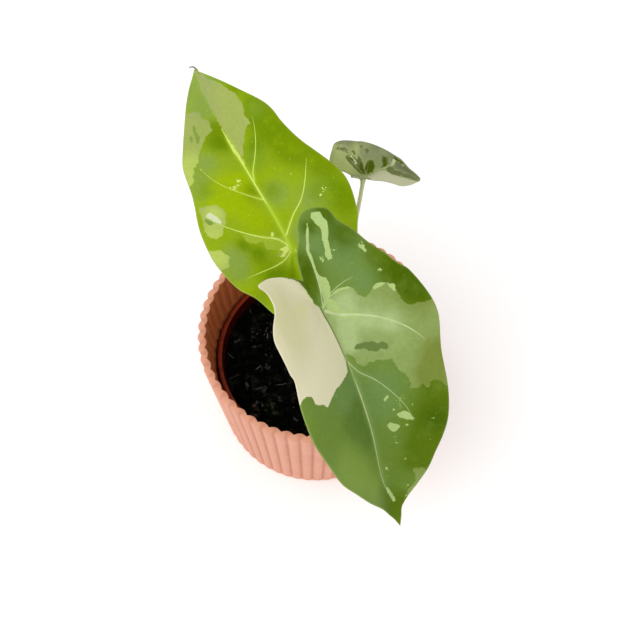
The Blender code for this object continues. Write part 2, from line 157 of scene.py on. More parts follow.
LARGE_LEAF = Leaf(
    name="large_leaf", joint=(2, -24.4, 138), heading=146, pitch=-36, roll=-21.5, tip_droop=25,
    lobe_droop=5, rise_left=48, rise_right=21, curl=2.5, twist=0, dimple=0.8, wave_height=0.6, waves=5,
    heart=0.6,
    right_edge=[
        (102.3, -3.4), (96.6, -0.6), (87.4, 5.1), (76.2, 14.3), (65.9, 21.8), (56, 28.8), (47.3, 32.7),
        (39.7, 35.5), (33.8, 36.9), (23.1, 35.9), (12.3, 33.1), (9.5, 34), (1, 33.6), (-2.9, 32.9),
        (-6.5, 30.6), (-10.2, 27.1), (-13.2, 25.7), (-16.9, 25.5), (-20.6, 27.5), (-21, 22.5),
        (-19.7, 17.1), (-16.6, 9.9), (-13, 3),
    ],
    left_edge=[
        (102.3, -3.4), (96.6, -4.4), (92, -5.2), (86.7, -8.7), (81.3, -13.6), (75.1, -18.7), (68.9, -22.3),
        (62.6, -26.1), (55.9, -29.3), (43.1, -32.7), (29.9, -34.9), (17.5, -37.4), (12.8, -37.6),
        (8, -37.1), (3, -35.8), (-1.2, -33.8), (-3.4, -31.8), (-5.8, -30), (-9.4, -28.4), (-12.6, -26.7),
        (-21.1, -22), (-26.6, -18.6), (-31.9, -17.4), (-34.8, -11.6), (-34.4, -7.9), (-31.8, -4.9),
        (-27.3, -2.8), (-20.7, 1), (-13, 3),
    ],
    midrib=[
        (0, 0), (22, -0.2), (40, -0.3), (55, 0), (69, 1.2), (77, 0.8), (88, -1.8), (95, -2.7), (102.3, -3.4),
    ],
    midrib_width=0.8,
    # A painted shade line on the cream side of the midrib, where its groove turns from the light
    dark_line=[(-1, 0.9), (4, 0.6), (10, 0.45), (18, 0.35), (28, 0.3)],
    veins=[
        (1.3, [(0.8, -0.4), (4.1, -3.8), (7.6, -11.3), (11.4, -17.9), (16.7, -24.3), (20.7, -27.7),
            (25.6, -30.8)]),
        (0.42, [(22, -0.2), (27.8, -2.8), (32.8, -7.3), (39, -11.4), (46.6, -15.2), (54.4, -17.2)]),
        (0.4, [(-0.5, -0.8), (-4, -4.8), (-5.8, -10), (-6.3, -15.5)]),
        (0.5, [(0.1, -0.6), (-8.1, -2.3), (-14.1, -3), (-20.5, -3.9), (-26.8, -5.9), (-31, -9)]),
        (0, [(0.4, 0.6), (3, 8), (7.5, 17), (14, 25), (21, 30.5)]),
        (0, [(17, 0.2), (24, 6), (32, 13.5), (41, 20.5), (50, 25)]),
        (0, [(36, 0), (43, 5), (52, 10.5), (62, 15), (70, 16.5)]),
        (0, [(43, -0.2), (50, -4.6), (59, -8.8), (68, -11.5), (76, -12.2)]),
        (0, [(-0.2, 0.8), (-5, 7), (-10, 14), (-15.5, 21)]),
    ],
    tones={
        "warm": [
            (-5, -29, 8), (8, -34, 8), (50, -28, 10), (61, -22, 10), (70, -15, 8), (90, -2, 9),
            (101, -3, 7), (-20, 0, 5), (-10, 1, 5), (99, -3, 5), (30, -33, 7), (37, -27, 6),
            (-12, -25, 4.5), (-5, 13, 3), (-5, 19, 3), (-5, 25, 3),
        ],
        # Bluish green: partly the leaf's own tone, partly a painted sheen of reflected light
        "cool": [
            (-26, -17, 3.5), (-15, -14, 8), (-24, -7, 5), (-3, -17, 5), (35, -9, 7), (44, -6, 6),
            (30, 5, 6), (36, 6, 6), (31, 13, 5),
        ],
        # Darker green: partly the lobes' own darker base, partly painted shade where the blade turns from the
        # light
        "deep": [
            (-2, -31, 7), (-16, 0, 5), (6, -34, 6), (-22, -18, 6), (-31, -16, 4), (-29, -8, 3), (0, 23, 9),
            (-12, 24, 8), (55, -25, 6),
        ],
        # Painted shade: the darker zone beside the midrib
        "dim": [(45, 8, 6), (53, 5, 5), (40, 4, 4), (42, 14, 5)],
        "bloom": [
            (1, -8, 4), (6, -6, 4), (12, -4, 4), (17, -3, 3), (10, -13, 4), (14, -20, 4), (62, 16, 8),
            (52, 24, 8), (72, 8, 6),
        ],
        "speckle": [
            (43, -13.4, 1.8), (46.5, -13.6, 1.2), (41.6, -9.4, 1.2), (53.4, -16.4, 1.3), (58, -7.5, 1.5),
            (61, -7.8, 1.5), (69.5, -1.8, 1.6), (72, 2.4, 1.5), (-17, -7.2, 1.6), (-18, -12.6, 1.6),
            (-14.3, -22.3, 2), (-4.8, -23.8, 1.2), (82, -8.3, 1.6), (86.5, -8, 1.4),
        ],
    },
    stalk={
        "foot": (-1.2, -4.6), "upright": 35, "shoulder": (-4, -20, 128), "radii": (2.4, 1.4), "drop": 2,
        "straight": True,
    },
    rows=250, columns=64,
    marks={
        "pale": [
            [(-3.7, -4.7), (-4.5, -7.9), (-3.9, -11), (-2.6, -12.6), (0.1, -13), (2.1, -14.9), (1.7, -17.3),
             (-0.1, -19.3), (-0.5, -22.3), (0.8, -25), (1.8, -27), (4.4, -26.7), (7.4, -27), (9.8, -27.6),
             (11, -29.9), (11.2, -33.1), (12.2, -34.9), (10.8, -39.5), (15.2, -41), (23.4, -40),
             (32.4, -38), (38.7, -37), (43.3, -36), (43.5, -32), (40.3, -29.8), (39.9, -26.6),
             (42.2, -24.9), (40, -23.5), (41.5, -20.9), (40.2, -18.8), (36.4, -19.4), (33.4, -17.6),
             (30.7, -16.3), (27.3, -15.8), (25.8, -10.2), (25.9, -6.3), (26.2, -4.5), (23.7, -3.2),
             (20.8, -2.7), (19.1, -1), (19.5, 0.4), (6.4, 0.4), (-1, 0.4)],
            [(74.2, -11.9), (74.7, -16.4), (78.4, -19), (85.3, -13), (89.7, -8.5), (84.1, -8.5),
             (80.5, -12.4)],
        ],
        "light": [
            [(-1, -1.8), (-2.6, -3.6), (-1.7, -4.8), (0.2, -5.6), (2.8, -5.1), (5.4, -8), (8.4, -11.2),
             (9.1, -11.2), (7, -7.3), (4.6, -3.3), (2.2, -1.6)],
            [(-2.9, -3.9), (-4.2, -6.2), (-4.5, -8.9), (-3.4, -12), (-2.9, -11), (-3.6, -8.5), (-3.2, -5.8)],
            [(0.3, -19.1), (-0.6, -20.6), (-0.4, -22.6), (0.6, -24.3), (0.9, -22.7), (1.1, -21.1),
             (1.1, -19.6)],
            [(0.9, -24.5), (2.1, -27), (3.7, -26.7), (5, -25.8), (3, -25.2)],
            [(-30.9, -8.4), (-29, -8.3), (-26.5, -6.8), (-21.6, -4.4), (-20, -4.6), (-17.2, -4.1),
             (-13.4, -3.7), (-11.8, -3.9), (-10, -5.6), (-8, -5.5), (-6, -5.4), (-3.7, -4.7), (-1.5, -2.8),
             (0.3, -0.5), (-0.3, 0.4), (-2.5, -1.7), (-5.2, -2.1), (-8.1, -2.1), (-12.9, -2.8),
             (-17.3, -3.1), (-20.7, -3.4), (-22.2, -3.4), (-26.3, -5.8)],
            [(-33.2, -11.5), (-32.1, -14.7), (-29.8, -14.5), (-27.8, -15.1), (-24.4, -13.6), (-21.8, -12.2),
             (-18.9, -11.4), (-15.4, -10.5), (-15.3, -8.7), (-17.3, -8.9), (-19.7, -9.8), (-22.8, -10.3),
             (-25.9, -11.8), (-28.5, -11.2), (-31.6, -10.6)],
            [(48.9, -10.8), (48.4, -13.7), (49.6, -15.7), (53, -17.1), (52.8, -15.1), (51.9, -13.3),
             (50.9, -11.6)],
            [(52.6, -6.1), (51.6, -7.4), (53.6, -10.4), (54.9, -10.8), (56.4, -7.9), (54.9, -6.8)],
            [(-15.6, -20.8), (-13.9, -21.6), (-12.4, -22.2), (-12.2, -23.2), (-14, -23), (-14.6, -23.9),
             (-15.2, -22.6)],
            [(60.4, -7), (61.2, -7.2), (61.6, -8.6), (60.8, -8.6)],
            [(79.5, 0.3), (83, -0.2), (86.5, -1.2), (88.6, -1.7), (88, -2.9), (84, -2), (80.5, -0.9)],
            [(40.2, -9.9), (41.3, -10.3), (41.9, -9.2), (42.8, -8), (41.8, -7.7), (41, -8.6)],
            [(68.7, -9.4), (69.4, -9.3), (69.4, -10.1), (68.8, -10.1)],
            [(70.4, -1.2), (72, -1.4), (72.3, -2.2), (70.9, -2.3)],
            [(53.9, -13.1), (54.9, -13.2), (55.2, -14.2), (54.2, -14.3)],
            [(-16.8, -6.8), (-15.6, -6.7), (-15.4, -7.6), (-16.6, -7.8)],
            [(-18.2, -11.9), (-17.4, -11.8), (-17.3, -12.7), (-18.1, -12.8)],
            [(-5.2, -23.2), (-4.4, -23.3), (-4.3, -24.3), (-5.1, -24.5)],
            [(54.2, -23.2), (54.9, -23.2), (54.9, -24.1), (54.2, -24.1)],
            [(46.4, -9.8), (47.2, -9.9), (47.2, -10.6), (46.5, -10.6)],
        ],
        "cream": [
            [(-24, 30), (-23, 21.2), (-18.3, 13.6), (-14.2, 7), (-11.1, 5.6), (-7.4, 4.8), (-4, 3.6),
             (-0.2, 0.5), (6.4, 0.3), (14.1, 0.1), (20.9, 0.2), (25.3, 1.9), (26.1, 5.2), (26.3, 11.1),
             (26.4, 15), (27.3, 18.3), (28.4, 22.8), (26.3, 24), (25.4, 26.1), (24.1, 28.3), (21, 28.4),
             (19.2, 30.7), (19.3, 33.3), (21.3, 38.5), (0, 40), (-12, 36)],
        ],
        "dark": [
            [(18.7, -3.4), (17.4, -5.1), (17.8, -7.7), (17.5, -8.9), (18.6, -11.8), (19.9, -13),
             (19.7, -14.7), (22, -16.3), (23.4, -15.3), (22.3, -13.2), (22.5, -11.4), (22.2, -9.9),
             (20.4, -8.3)],
        ],
    },
    halo=0.3,
    colors={
        "warm": (80, 104, 2), "cool": (106, 134, 72), "deep": (67, 92, 4), "dim": (88, 115, 46),
        "bloom": (120, 146, 60), "pale": (140, 159, 96), "pale_two": (132, 152, 86),
        "pale_warm": (112, 126, 50), "pale_bloom": (164, 184, 126), "light": (166, 188, 118),
        "dark": (98, 120, 62), "cream_warm": (210, 204, 148), "cream_deep": (202, 198, 156),
        "vein": (202, 216, 166), "vein_end": (148, 168, 96), "halo": (154, 174, 112), "rim": (150, 168, 88),
        "under": (150, 166, 112),
    },
)

PALE_LEAF = Leaf(
    name="pale_leaf", joint=(-11.1, 9.8, 124), heading=-31, pitch=10, roll=-4, tip_droop=10, lobe_droop=6,
    rise_left=19, rise_right=22, curl=4, twist=0, dimple=0.8, wave_height=0.7, waves=6, heart=0.6,
    right_edge=[
        (98, 3.2), (90, 7.6), (76.5, 14.8), (63.5, 21.5), (57.7, 22.9), (51.1, 23.3), (37.9, 25.7),
        (23.9, 31.4), (10.6, 33.2), (-0.3, 30.3), (-8.3, 26), (-19, 21.5), (-27.5, 16.5), (-30.5, 11),
        (-27, 7), (-19, 4), (-13, 0),
    ],
    left_edge=[
        (98, 3.2), (91.2, -2.2), (82.6, -7.7), (73.5, -12.7), (59.2, -20), (49.6, -24.3), (36.6, -26.6),
        (18.2, -31.2), (3.7, -31.3), (-7.2, -28), (-14.8, -22.9), (-21.2, -20.4), (-27.5, -17),
        (-30, -12.5), (-27, -8), (-19, -4.5), (-13, 0),
    ],
    midrib=[(0, 0), (16, 0.5), (30, 0.2), (40, 0.2), (50, -0.2), (58, -0.2), (66, 0.1), (87, 1.3), (98, 3.2)],
    midrib_width=1.25,
    hook=[(94.5, 4.1), (97, 4.2), (99, 4), (100.4, 3.2), (100.9, 1.9)],
    veins=[
        (0.5, [(34.5, 0.6), (38.2, 2), (43.9, 6.1), (48.8, 9.2), (55.5, 12.3), (61, 14)]),
        (0.75, [(6.5, 0.6), (12.2, 7.2), (16.1, 13.3), (21.2, 17.9), (30.8, 24.3)]),
        (0.5, [(25, 0), (30.9, -6.9), (36.5, -12.5), (42.1, -16), (48.6, -18.3)]),
        (1, [(2.5, -0.2), (6.5, -3.2), (9.1, -8.2), (13.5, -14.6), (18.6, -20.4), (22.4, -23.9)]),
        (0.7, [(-0.3, -0.6), (-2.8, -4.8), (-4.1, -9.7), (-4.3, -14), (-4.4, -18.8), (-4.5, -23.9)]),
        (0.2, [(-0.3, 0.6), (-3.5, 6), (-6, 12.5), (-8, 19)]),
        (0, [(51, 0.4), (57, -4.2), (64, -8.2), (71, -10.4)]),
        (0, [(55, 0.5), (61, 4.6), (69, 8.4), (76, 10.3)]),
        (0, [(-0.8, -0.3), (-9, -4.2), (-17, -8), (-24, -11.6)]),
        (0, [(-0.8, 0.3), (-9, 4), (-17, 7.8), (-25, 11.6)]),
    ],
    tones={
        "warm": [
            (52, 18, 9), (64, 17, 7), (40, 20, 8), (22, 28, 7), (5, 29, 9), (34, 24, 7), (58, -5, 6),
            (66, -1.5, 4), (-10, -8, 5), (30, -4, 5), (88, 7.5, 5), (78, 13.5, 5),
        ],
        "cool": [
            (91, 5, 7), (40, -20, 7), (50, -14, 5), (86, -4, 8), (76, -3, 6), (6, -23, 5), (0, -25, 5),
            (24, 6, 5), (14, 17, 6), (4, 6, 5),
        ],
        "deep": [
            (57, -3, 4), (48, 8, 4), (-8, -13, 5), (12, 27, 5), (9, -18, 3), (3, -14, 4), (60, 15, 5),
            (50, 19, 5),
        ],
        # Painted shade in darker spots of the blade
        "dim": [(42, 5, 5), (36, -19, 5), (15, 21, 5), (63, 16.5, 5), (26, 5, 4)],
        "bloom": [(17, -7, 7), (28, -12, 7), (37, -12, 6), (29, -20, 4), (2, -2, 4), (38, -4, 4)],
        "sunny": [(7, -29, 6), (17, -26, 6), (26, -22, 4), (50, -20, 7), (44, -24, 5), (40, -27, 4)],
        "lush": [(8, -10, 6), (3, -4, 4), (12, -14, 4)],
        "speckle": [(35, -6.5, 2.2), (34.5, -10, 1.6), (13.3, 21, 1.4), (14.2, 23.8, 1.4), (9, -3.5, 1.2)],
    },
    stalk={
        "foot": (-4, 2.6), "upright": 30, "shoulder": (-11.4, 11.8, 112), "radii": (2.2, 1.3), "drop": 2,
        "straight": True,
    },
    rows=250, columns=60,
    marks={
        "pale": [
            [(97, 2.9), (95.9, 4.6), (89.7, 5.9), (83.1, 9.8), (77.8, 11.2), (74.6, 13.2), (70.7, 13),
             (67, 12.7), (62.6, 11.3), (58.1, 11.6), (56.9, 8.2), (53.1, 5.8), (50.2, 3.7), (47.6, 2.1),
             (44, 0.8), (58, 0.3), (72, 0.4), (87, 1.2)],
            [(77.2, -12), (75.9, -5.3), (71.8, -5.4), (69.2, -3.4), (64, -4.4), (62.4, -7.9), (58.8, -10.9),
             (56, -13.8), (51.1, -16.7), (47.4, -20.6), (42.1, -23.4), (39.7, -28.5), (47.5, -27.5),
             (55.7, -24), (67.4, -18.5), (72.6, -15.5)],
            [(30.9, -26.4), (29.2, -19.5), (24.4, -17.4), (19.8, -20.1), (15.7, -23), (14.8, -26.4),
             (17.5, -29.2), (21.8, -28.5), (26, -27.6)],
            [(13.4, -16.4), (11.3, -10.8), (6.3, -0.4), (3, -0.3), (-0.1, -0.7), (-2.8, -3.5), (-0.5, -7.2),
             (2, -5.2), (3.5, -10), (7.2, -9.3), (7.5, -12.8), (10, -16)],
            [(12.9, -34), (10.2, -27), (6.4, -25.4), (1.7, -27.7), (3, -34), (8.5, -35)],
        ],
        "light": [
            [(43, 0.2), (47, -0.1), (51, -0.7), (56, -0.6), (61.5, -0.1), (60.5, 0.2), (55, 0.4), (50, 0.9),
             (46.5, 0.8), (43, 0.6)],
            [(37.4, -4.7), (36.6, -4.4), (35.9, -5.6), (36.3, -6.7), (37.2, -6.2)],
            [(34.8, -5.6), (34.3, -5.7), (34.2, -6.5), (34.8, -6.5)],
            [(35.3, -7.7), (34.3, -8.2), (34, -9.2), (34.9, -9.2)],
            [(13.6, 20.4), (12.7, 20.6), (12.6, 21.6), (13.4, 21.5)],
            [(14.5, 23), (13.6, 23.4), (13.4, 24.3), (14.2, 24.1)],
            [(2.6, -0.6), (0.4, -1), (-1.6, -4.6), (-1.2, -6.4), (0.6, -3.6), (2.2, -5.2), (2.4, -2.6)],
            [(9.8, -3.4), (8, -4.6), (8.4, -5.2), (10.4, -4.2)],
        ],
        "cream": [
            [(26.2, -25.5), (27, -23.3), (24.3, -21.6), (21.4, -21), (20.4, -21.8), (22.8, -23.6),
             (24.4, -25.2)],
        ],
        "dark": [
            [(68.8, -11.6), (69.2, -10.2), (65.5, -10.9), (62.8, -10.6), (60.2, -12.2), (59.8, -13.6),
             (64.2, -12.4)],
            [(61.2, -15.4), (64.6, -14.6), (64.2, -13.8), (61, -14.4)],
            [(25.4, -26.8), (23.6, -25), (22, -24), (21.4, -26), (23.2, -27.2)],
        ],
    },
    halo=0.5,
    colors={
        "warm": (106, 132, 0), "cool": (132, 156, 68), "deep": (100, 130, 0), "dim": (114, 142, 30),
        "bloom": (150, 175, 4), "pale": (156, 168, 89), "pale_two": (151, 166, 84),
        "pale_cool": (148, 160, 94), "pale_sunny": (176, 194, 92), "pale_lush": (154, 178, 44),
        "light": (208, 223, 116), "dark": (126, 150, 64), "cream": (204, 212, 172),
        "cream_warm": (200, 210, 140), "cream_deep": (180, 196, 130), "vein": (216, 234, 134),
        "vein_end": (168, 196, 56), "halo": (178, 202, 52), "rim": (164, 176, 92), "under": (160, 178, 80),
    },
)

SMALL_LEAF = Leaf(
    name="small_leaf", joint=(18.4, 48.1, 124), heading=98, pitch=30, roll=-12, tip_droop=60, lobe_droop=2,
    rise_left=56, rise_right=34, curl=6, twist=85, dimple=4.7, wave_height=0, waves=0, heart=0.55,
    right_edge=[
        (25.2, 0), (23.4, 3), (20, 5.4), (15.3, 6.1), (11.3, 6.8), (6.4, 8.6), (2.4, 9), (-1.2, 7.6),
        (-3.4, 5.4), (-4.8, 3), (-5.6, 1.2), (-6, 0),
    ],
    left_edge=[
        (25.2, 0), (23.8, -2.3), (21.5, -3.5), (19.2, -4), (17.5, -5.2), (15.6, -6.6), (13, -7.2),
        (7, -9.1), (-0.7, -11.7), (-8.2, -13.3), (-11, -12.7), (-12.6, -10.2), (-14.4, -6.4), (-14, -3.6),
        (-11, -1.6), (-6, 0),
    ],
    midrib=[(0, 0), (8, 0), (16, 0), (25.2, 0)],
    midrib_width=0.45,
    veins=[
        (0.1, [(0.2, -0.2), (2, -3.4), (4.5, -6.2), (7.5, -7.6)]),
        (0.2, [(-0.2, -0.2), (-3.6, -4), (-7.4, -8.2), (-10, -10.4)]),
        (0.1, [(0.2, 0.2), (2, 3.6), (4.5, 6.6)]),
        (0.1, [(-0.2, 0.2), (-1.6, 2.4), (-2.6, 4.6)]),
        (0.4, [(9.5, 0), (11.5, -0.8), (12.8, -2.4), (13.4, -4.8)]),
        (0.1, [(8, 0), (11, 2.2), (14.5, 3.6)]),
    ],
    tones={
        "warm": [(-6, -3, 4), (-11, -4, 3), (0, -9, 3), (-9, -11, 3)],
        "cool": [(7, -6, 4), (1.5, -7.4, 2.4), (14, -3, 3), (18, -3, 4), (22, -2, 3)],
        # Painted shade along the far half, where the blade turns away from the light
        "deep": [
            (1, -12, 2), (-4, -12.4, 2.6), (-8.5, -13, 2.2), (7, -9.5, 2), (12, -7.5, 2), (16, -3, 2.5),
            (20, -3, 2),
        ],
        "bloom": [(-9, -6, 2.5), (-3.5, -5.5, 1.2)],
        "speckle": [(-8, -10, 2), (-4, -4.5, 1.5), (12, -3, 1.5), (-12, -3, 1.5), (17, -4, 1.5)],
    },
    stalk={
        "foot": (4.6, 2.2), "upright": 12, "shoulder": (15.6, 36, 100), "head": (16.9, 48.3, 123.3),
        "radii": (1.7, 0.88), "drop": 1.2, "straight": False,
    },
    rows=150, columns=40,
    marks={
        "dark": [
            [(-5.8, -6.4), (-4.4, -6.4), (-3.4, -5.6), (-4.2, -5), (-5.4, -5.4)],
            [(-3.4, -3.4), (-2.4, -2.8), (-1.4, -4.6), (-0.6, -5.4), (-0.3, -3.4), (-0.2, -1.4), (-1.6, -1),
             (-3, -2.2)],
            [(0.2, -3), (1.4, -4.2), (3.4, -4.7), (5, -3.8), (5.2, -1.8), (4.4, -0.9), (1, -0.8)],
            [(9.4, -5), (10.2, -5), (10.7, -1.8), (10.2, -0.7), (9.2, -0.8)],
            [(13.2, -6.9), (15, -6.7), (16.8, -5.6), (16.4, -4.9), (14.8, -5), (13.4, -5.6)],
            [(22.4, 0.9), (23.4, 0.3), (24.2, 0.1), (23.6, 0.9)],
        ],
        "pale": [
            [(10.5, 0), (12, 1.6), (13.5, 2.3), (16, 2.2), (19, 1.7), (22, 1), (24, 0.3), (22, 0),
             (18, 0.2), (14, 0), (11.5, -1.2)],
            [(-11.4, -10.4), (-9.5, -10.8), (-6.8, -10.4), (-5.2, -9), (-5.6, -8.2), (-7.4, -8.8),
             (-9.6, -9.8)],
            [(-6.6, -6.6), (-5, -7.2), (-3.4, -6.6), (-2.4, -5.6), (-1, -6.9), (-0.2, -5.6), (0.1, -3),
             (0, -1), (-1.4, -0.7), (-3.2, -1.6), (-5, -3.6), (-6.2, -5.4)],
            [(-3.8, -8.6), (-2.6, -8.4), (-2.1, -7.5), (-2.9, -7.1)],
            [(2.2, -8.2), (3.2, -8.7), (3.9, -7.6), (3.3, -7), (2.5, -7.2)],
            [(0.4, -9.5), (1.5, -9.8), (1.8, -9.3), (0.9, -9.1)],
            [(8.8, -5.6), (11.2, -5.4), (11.4, -1), (8.6, -0.4)],
        ],
        "light": [
            [(-5.6, -6.9), (-4.2, -6.9), (-3, -5.4), (-2.5, -4.4), (-3.3, -4.6), (-4.2, -6.1)],
            [(13, -5), (13.9, -5.2), (13.8, -2), (12.6, -1.2), (11, -0.6), (12.5, -2.2)],
        ],
        "cream": [
            [(2, 0.8), (6, 1), (10, 1.2), (12, 2), (14, 2.7), (18, 2.3), (22, 1.4), (24.5, 0.6), (27, 2),
             (20, 9), (8, 10), (2, 5)],
        ],
    },
    halo=0.2,
    colors={
        "warm": (170, 178, 116), "cool": (134, 142, 104), "deep": (118, 122, 92), "bloom": (160, 170, 112),
        "pale": (98, 108, 60), "pale_two": (112, 118, 80), "light": (196, 202, 156), "dark": (78, 95, 15),
        "cream": (179, 180, 148), "cream_warm": (180, 180, 140), "cream_deep": (170, 170, 130),
        "vein": (176, 184, 130), "vein_end": (140, 148, 98), "halo": (150, 160, 104), "rim": (118, 122, 96),
        # The underside colour is lightened to paint light into the shaded underside
        "under": (204, 208, 164),
    },
)

LEAVES = (LARGE_LEAF, PALE_LEAF, SMALL_LEAF)

# Where the soil shows something of its own: fibres as (x, y, heading, length), then the middles of the bits
LONG_FIBRES = [
    (-0.0432, 0.0008, radians(-48), 0.0042),
    (-0.0188, -0.0153, radians(6), 0.0050),
    (-0.0290, -0.0080, radians(38), 0.0034),
    (-0.0246, 0.0092, radians(80), 0.0030),
]
MOSSY_SPOT = (-0.0196, -0.0259)
BARK_SPOT = (-0.0275, -0.0292)


# Settings that a user can change


class CoverPotSettings(bpy.types.PropertyGroup):
    """The fluted pot."""

    flutes: IntProperty(name="Flutes", default=58, min=12, max=120, description="Ridges round the wall")
    steps: IntProperty(name="Steps", default=14, min=6, max=32, description="Faces across one flute")
    flute_depth: length_property("Flute Depth", 0.0011, "How deep the grooves lie under the ridges")
    rim_radius: length_property("Rim Radius", 0.0540, "Outer radius at the rim")
    base_radius: length_property("Base Radius", 0.0485, "Outer radius at the foot")
    wall: length_property("Wall", 0.0029, "Wall between a ridge and the notch behind it")
    floor: length_property("Floor", 0.0030, "Thickness of the floor")
    lip: length_property("Lip", 0.0010, "Radius of the rim's rounded edges")
    color: color_property("Colour", (221, 157, 131), "Matt peach of the pot")
    # Painted shade: the grooves are drawn darker than the ridges, outside and inside
    deep_color: color_property("Deep Colour", (190, 124, 99), "Deeper tone in the grooves")
    # Painted light: the inner face is drawn darker and more orange, as shade with light bounced round the
    # inside
    inner_shade_color: color_property("Inner Colour", (212, 122, 74), "Deeper tone of the inner face")
    inner_groove_shade_color: color_property("Inner Deep Colour", (148, 68, 34), "Grooves of the inner face")


class NurseryPotSettings(bpy.types.PropertyGroup):
    """The thin pot that stands in the fluted one."""

    rim_radius: length_property("Rim Radius", 0.0473, "Outer radius of the lip")
    body_radius: length_property("Body Radius", 0.0462, "Radius that the wall would have at the top")
    base_radius: length_property("Base Radius", 0.0390, "Outer radius of the floor")
    wall: length_property("Wall", 0.0010, "Thickness of the wall and the floor")
    lip_height: length_property("Lip Height", 0.0030, "Height of the lip")
    drain_ring: length_property("Drain Ring", 0.0240, "Radius of the ring of drain holes")
    drain_radius: length_property("Drain Hole", 0.0032, "Radius of a drain hole")
    color: color_property("Colour", (136, 44, 20), "Terracotta brown of the pot")
    # Painted shade: the inner face is drawn much darker than the outside
    inner_shade_color: color_property("Inner Colour", (58, 9, 3), "Dark red of the inner face")


class SoilSettings(bpy.types.PropertyGroup):
    """The loose potting soil."""

    crumbs: IntProperty(name="Crumbs", default=800, min=0, max=3000, description="Loose lumps on the soil")
    chips: IntProperty(name="Chips", default=90, min=0, max=400, description="Slivers of bark")
    fibres: IntProperty(name="Fibres", default=14, min=0, max=200, description="Pale root fibres")
    lump_height: length_property("Lump Height", 0.0014, "Height of the soil's larger lumps")
    lump_size: length_property("Lump Size", 0.0085, "Width of the soil's larger lumps")
    color: color_property("Colour", (5, 5, 4), "Nearly black soil")
    dry_color: color_property("Dry Colour", (58, 57, 51), "Soil that has dried at the surface")
    fibre_color: color_property("Fibre Colour", (140, 138, 128), "Dry root fibres")
    moss_color: color_property("Moss Colour", (46, 56, 12), "A few mossy crumbs")


class LeafSettings(bpy.types.PropertyGroup):
    """What the three leaves share, and their colours."""

    thickness: length_property("Thickness", 0.0005, "Thickness of a blade")
    valley: length_property("Fold Width", 0.0025, "How sharply the largest blade folds at its midrib")
    vein_sink: length_property("Vein Sink", 0.00022, "How deep the veins lie in the upper face")
    swell: length_property("Swell", 0.00040, "How far the blade swells between its veins")
    large_leaf: color_property("Large Leaf", (104, 130, 50), "Green of the large leaf")
    pale_leaf: color_property("Pale Leaf", (138, 164, 6), "Yellow-green of the pale leaf")
    small_leaf: color_property("Small Leaf", (144, 155, 103), "Grey-green of the small leaf")
    cream: color_property("Cream", (216, 210, 178), "Sectors with no green in them")
    stalk: color_property("Stalk", (200, 204, 156), "Upper part of the stalks")
    stalk_foot: color_property("Stalk Foot", (132, 150, 78), "Foot of the stalks")


class StageSettings(bpy.types.PropertyGroup):
    """Floor, lights and camera."""

    floor_color: color_property("Floor", (245.814, 245.814, 245.814), "Plain pale floor")
    floor_glow: FloatProperty(name="Glow", default=0.1, min=0, max=1, description="Light from the floor")
    ambient: FloatProperty(name="Ambient", default=0.86, min=0, max=3, description="Soft light all round")
    key: FloatProperty(name="Key", default=4.4, min=0, max=60, unit="POWER", description="Large soft light")
    fill: FloatProperty(name="Fill", default=0.8, min=0, max=60, unit="POWER", description="Weaker light")
    elevation: FloatProperty(
        name="Elevation", default=radians(62.28), subtype="ANGLE", description="Camera's angle above level"
    )
    tilt: FloatProperty(name="Tilt", default=radians(1.99), subtype="ANGLE", description="Camera's roll")
    distance: length_property("Distance", 0.36187, "From the middle of the pot's rim to the camera")
    aside: length_property("Aside", -0.00126, "How far the rim's middle lies from the picture's, across")
    above: length_property("Above", 0.00415, "How far the rim's middle lies below the picture's")
    lens: FloatProperty(name="Lens", default=45.0, min=10, max=200, description="Focal length in millimetres")


# Meshes


def mesh_of(name, bm):
    """The finished mesh of a bmesh, which is freed."""
    mesh = bpy.data.meshes.new(name)
    bm.to_mesh(mesh)
    bm.free()
    return mesh


def add_object(name, data):
    """An object for the data, in the scene."""
    made = bpy.data.objects.new(name, data)
    bpy.context.scene.collection.objects.link(made)
    return made


def add_piece(name, bm, materials, replaced=(), smooth_angle=40):
    """Puts a finished mesh in the scene as a piece that rides on the one body."""
    mesh = mesh_of(name, bm)
    mesh.shade_smooth()
    mesh.set_sharp_from_angle(angle=radians(smooth_angle))
    for material in materials:
        mesh.materials.append(material)
    piece = add_object(name, mesh)
    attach(piece, "root")
    if replaced:
        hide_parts(*replaced)
    return piece


def add_tubes(name, bm, material, smooth_angle=60, replaced=()):
    """Puts a mesh of tubes in the scene, with its faces turned outwards."""
    bmesh.ops.recalc_face_normals(bm, faces=bm.faces)
    add_piece(name, bm, [material], replaced, smooth_angle)


def turned(profile, steps):
    """Closed round body from a profile of (radius, height) that starts and ends on the axis."""
    bm = bmesh.new()
    verts = [bm.verts.new((radius, 0, height)) for radius, height in profile]
    edges = [bm.edges.new(pair) for pair in zip(verts, verts[1:])]
    whole = verts + edges
    bmesh.ops.spin(bm, geom=whole, cent=(0, 0, 0), axis=(0, 0, 1), angle=tau, steps=steps, use_merge=True)
    bmesh.ops.remove_doubles(bm, verts=bm.verts, dist=1e-6)
    bmesh.ops.recalc_face_normals(bm, faces=bm.faces)
    return bm


def arc(center, radius, start, end, count):
    """Points of an arc in a profile, with angles in degrees from outwards towards up."""
    points = []
    for k in range(count + 1):
        angle = radians(start + (end - start) * k / count)
        points.append((center[0] + radius * cos(angle), center[1] + radius * sin(angle)))
    return points


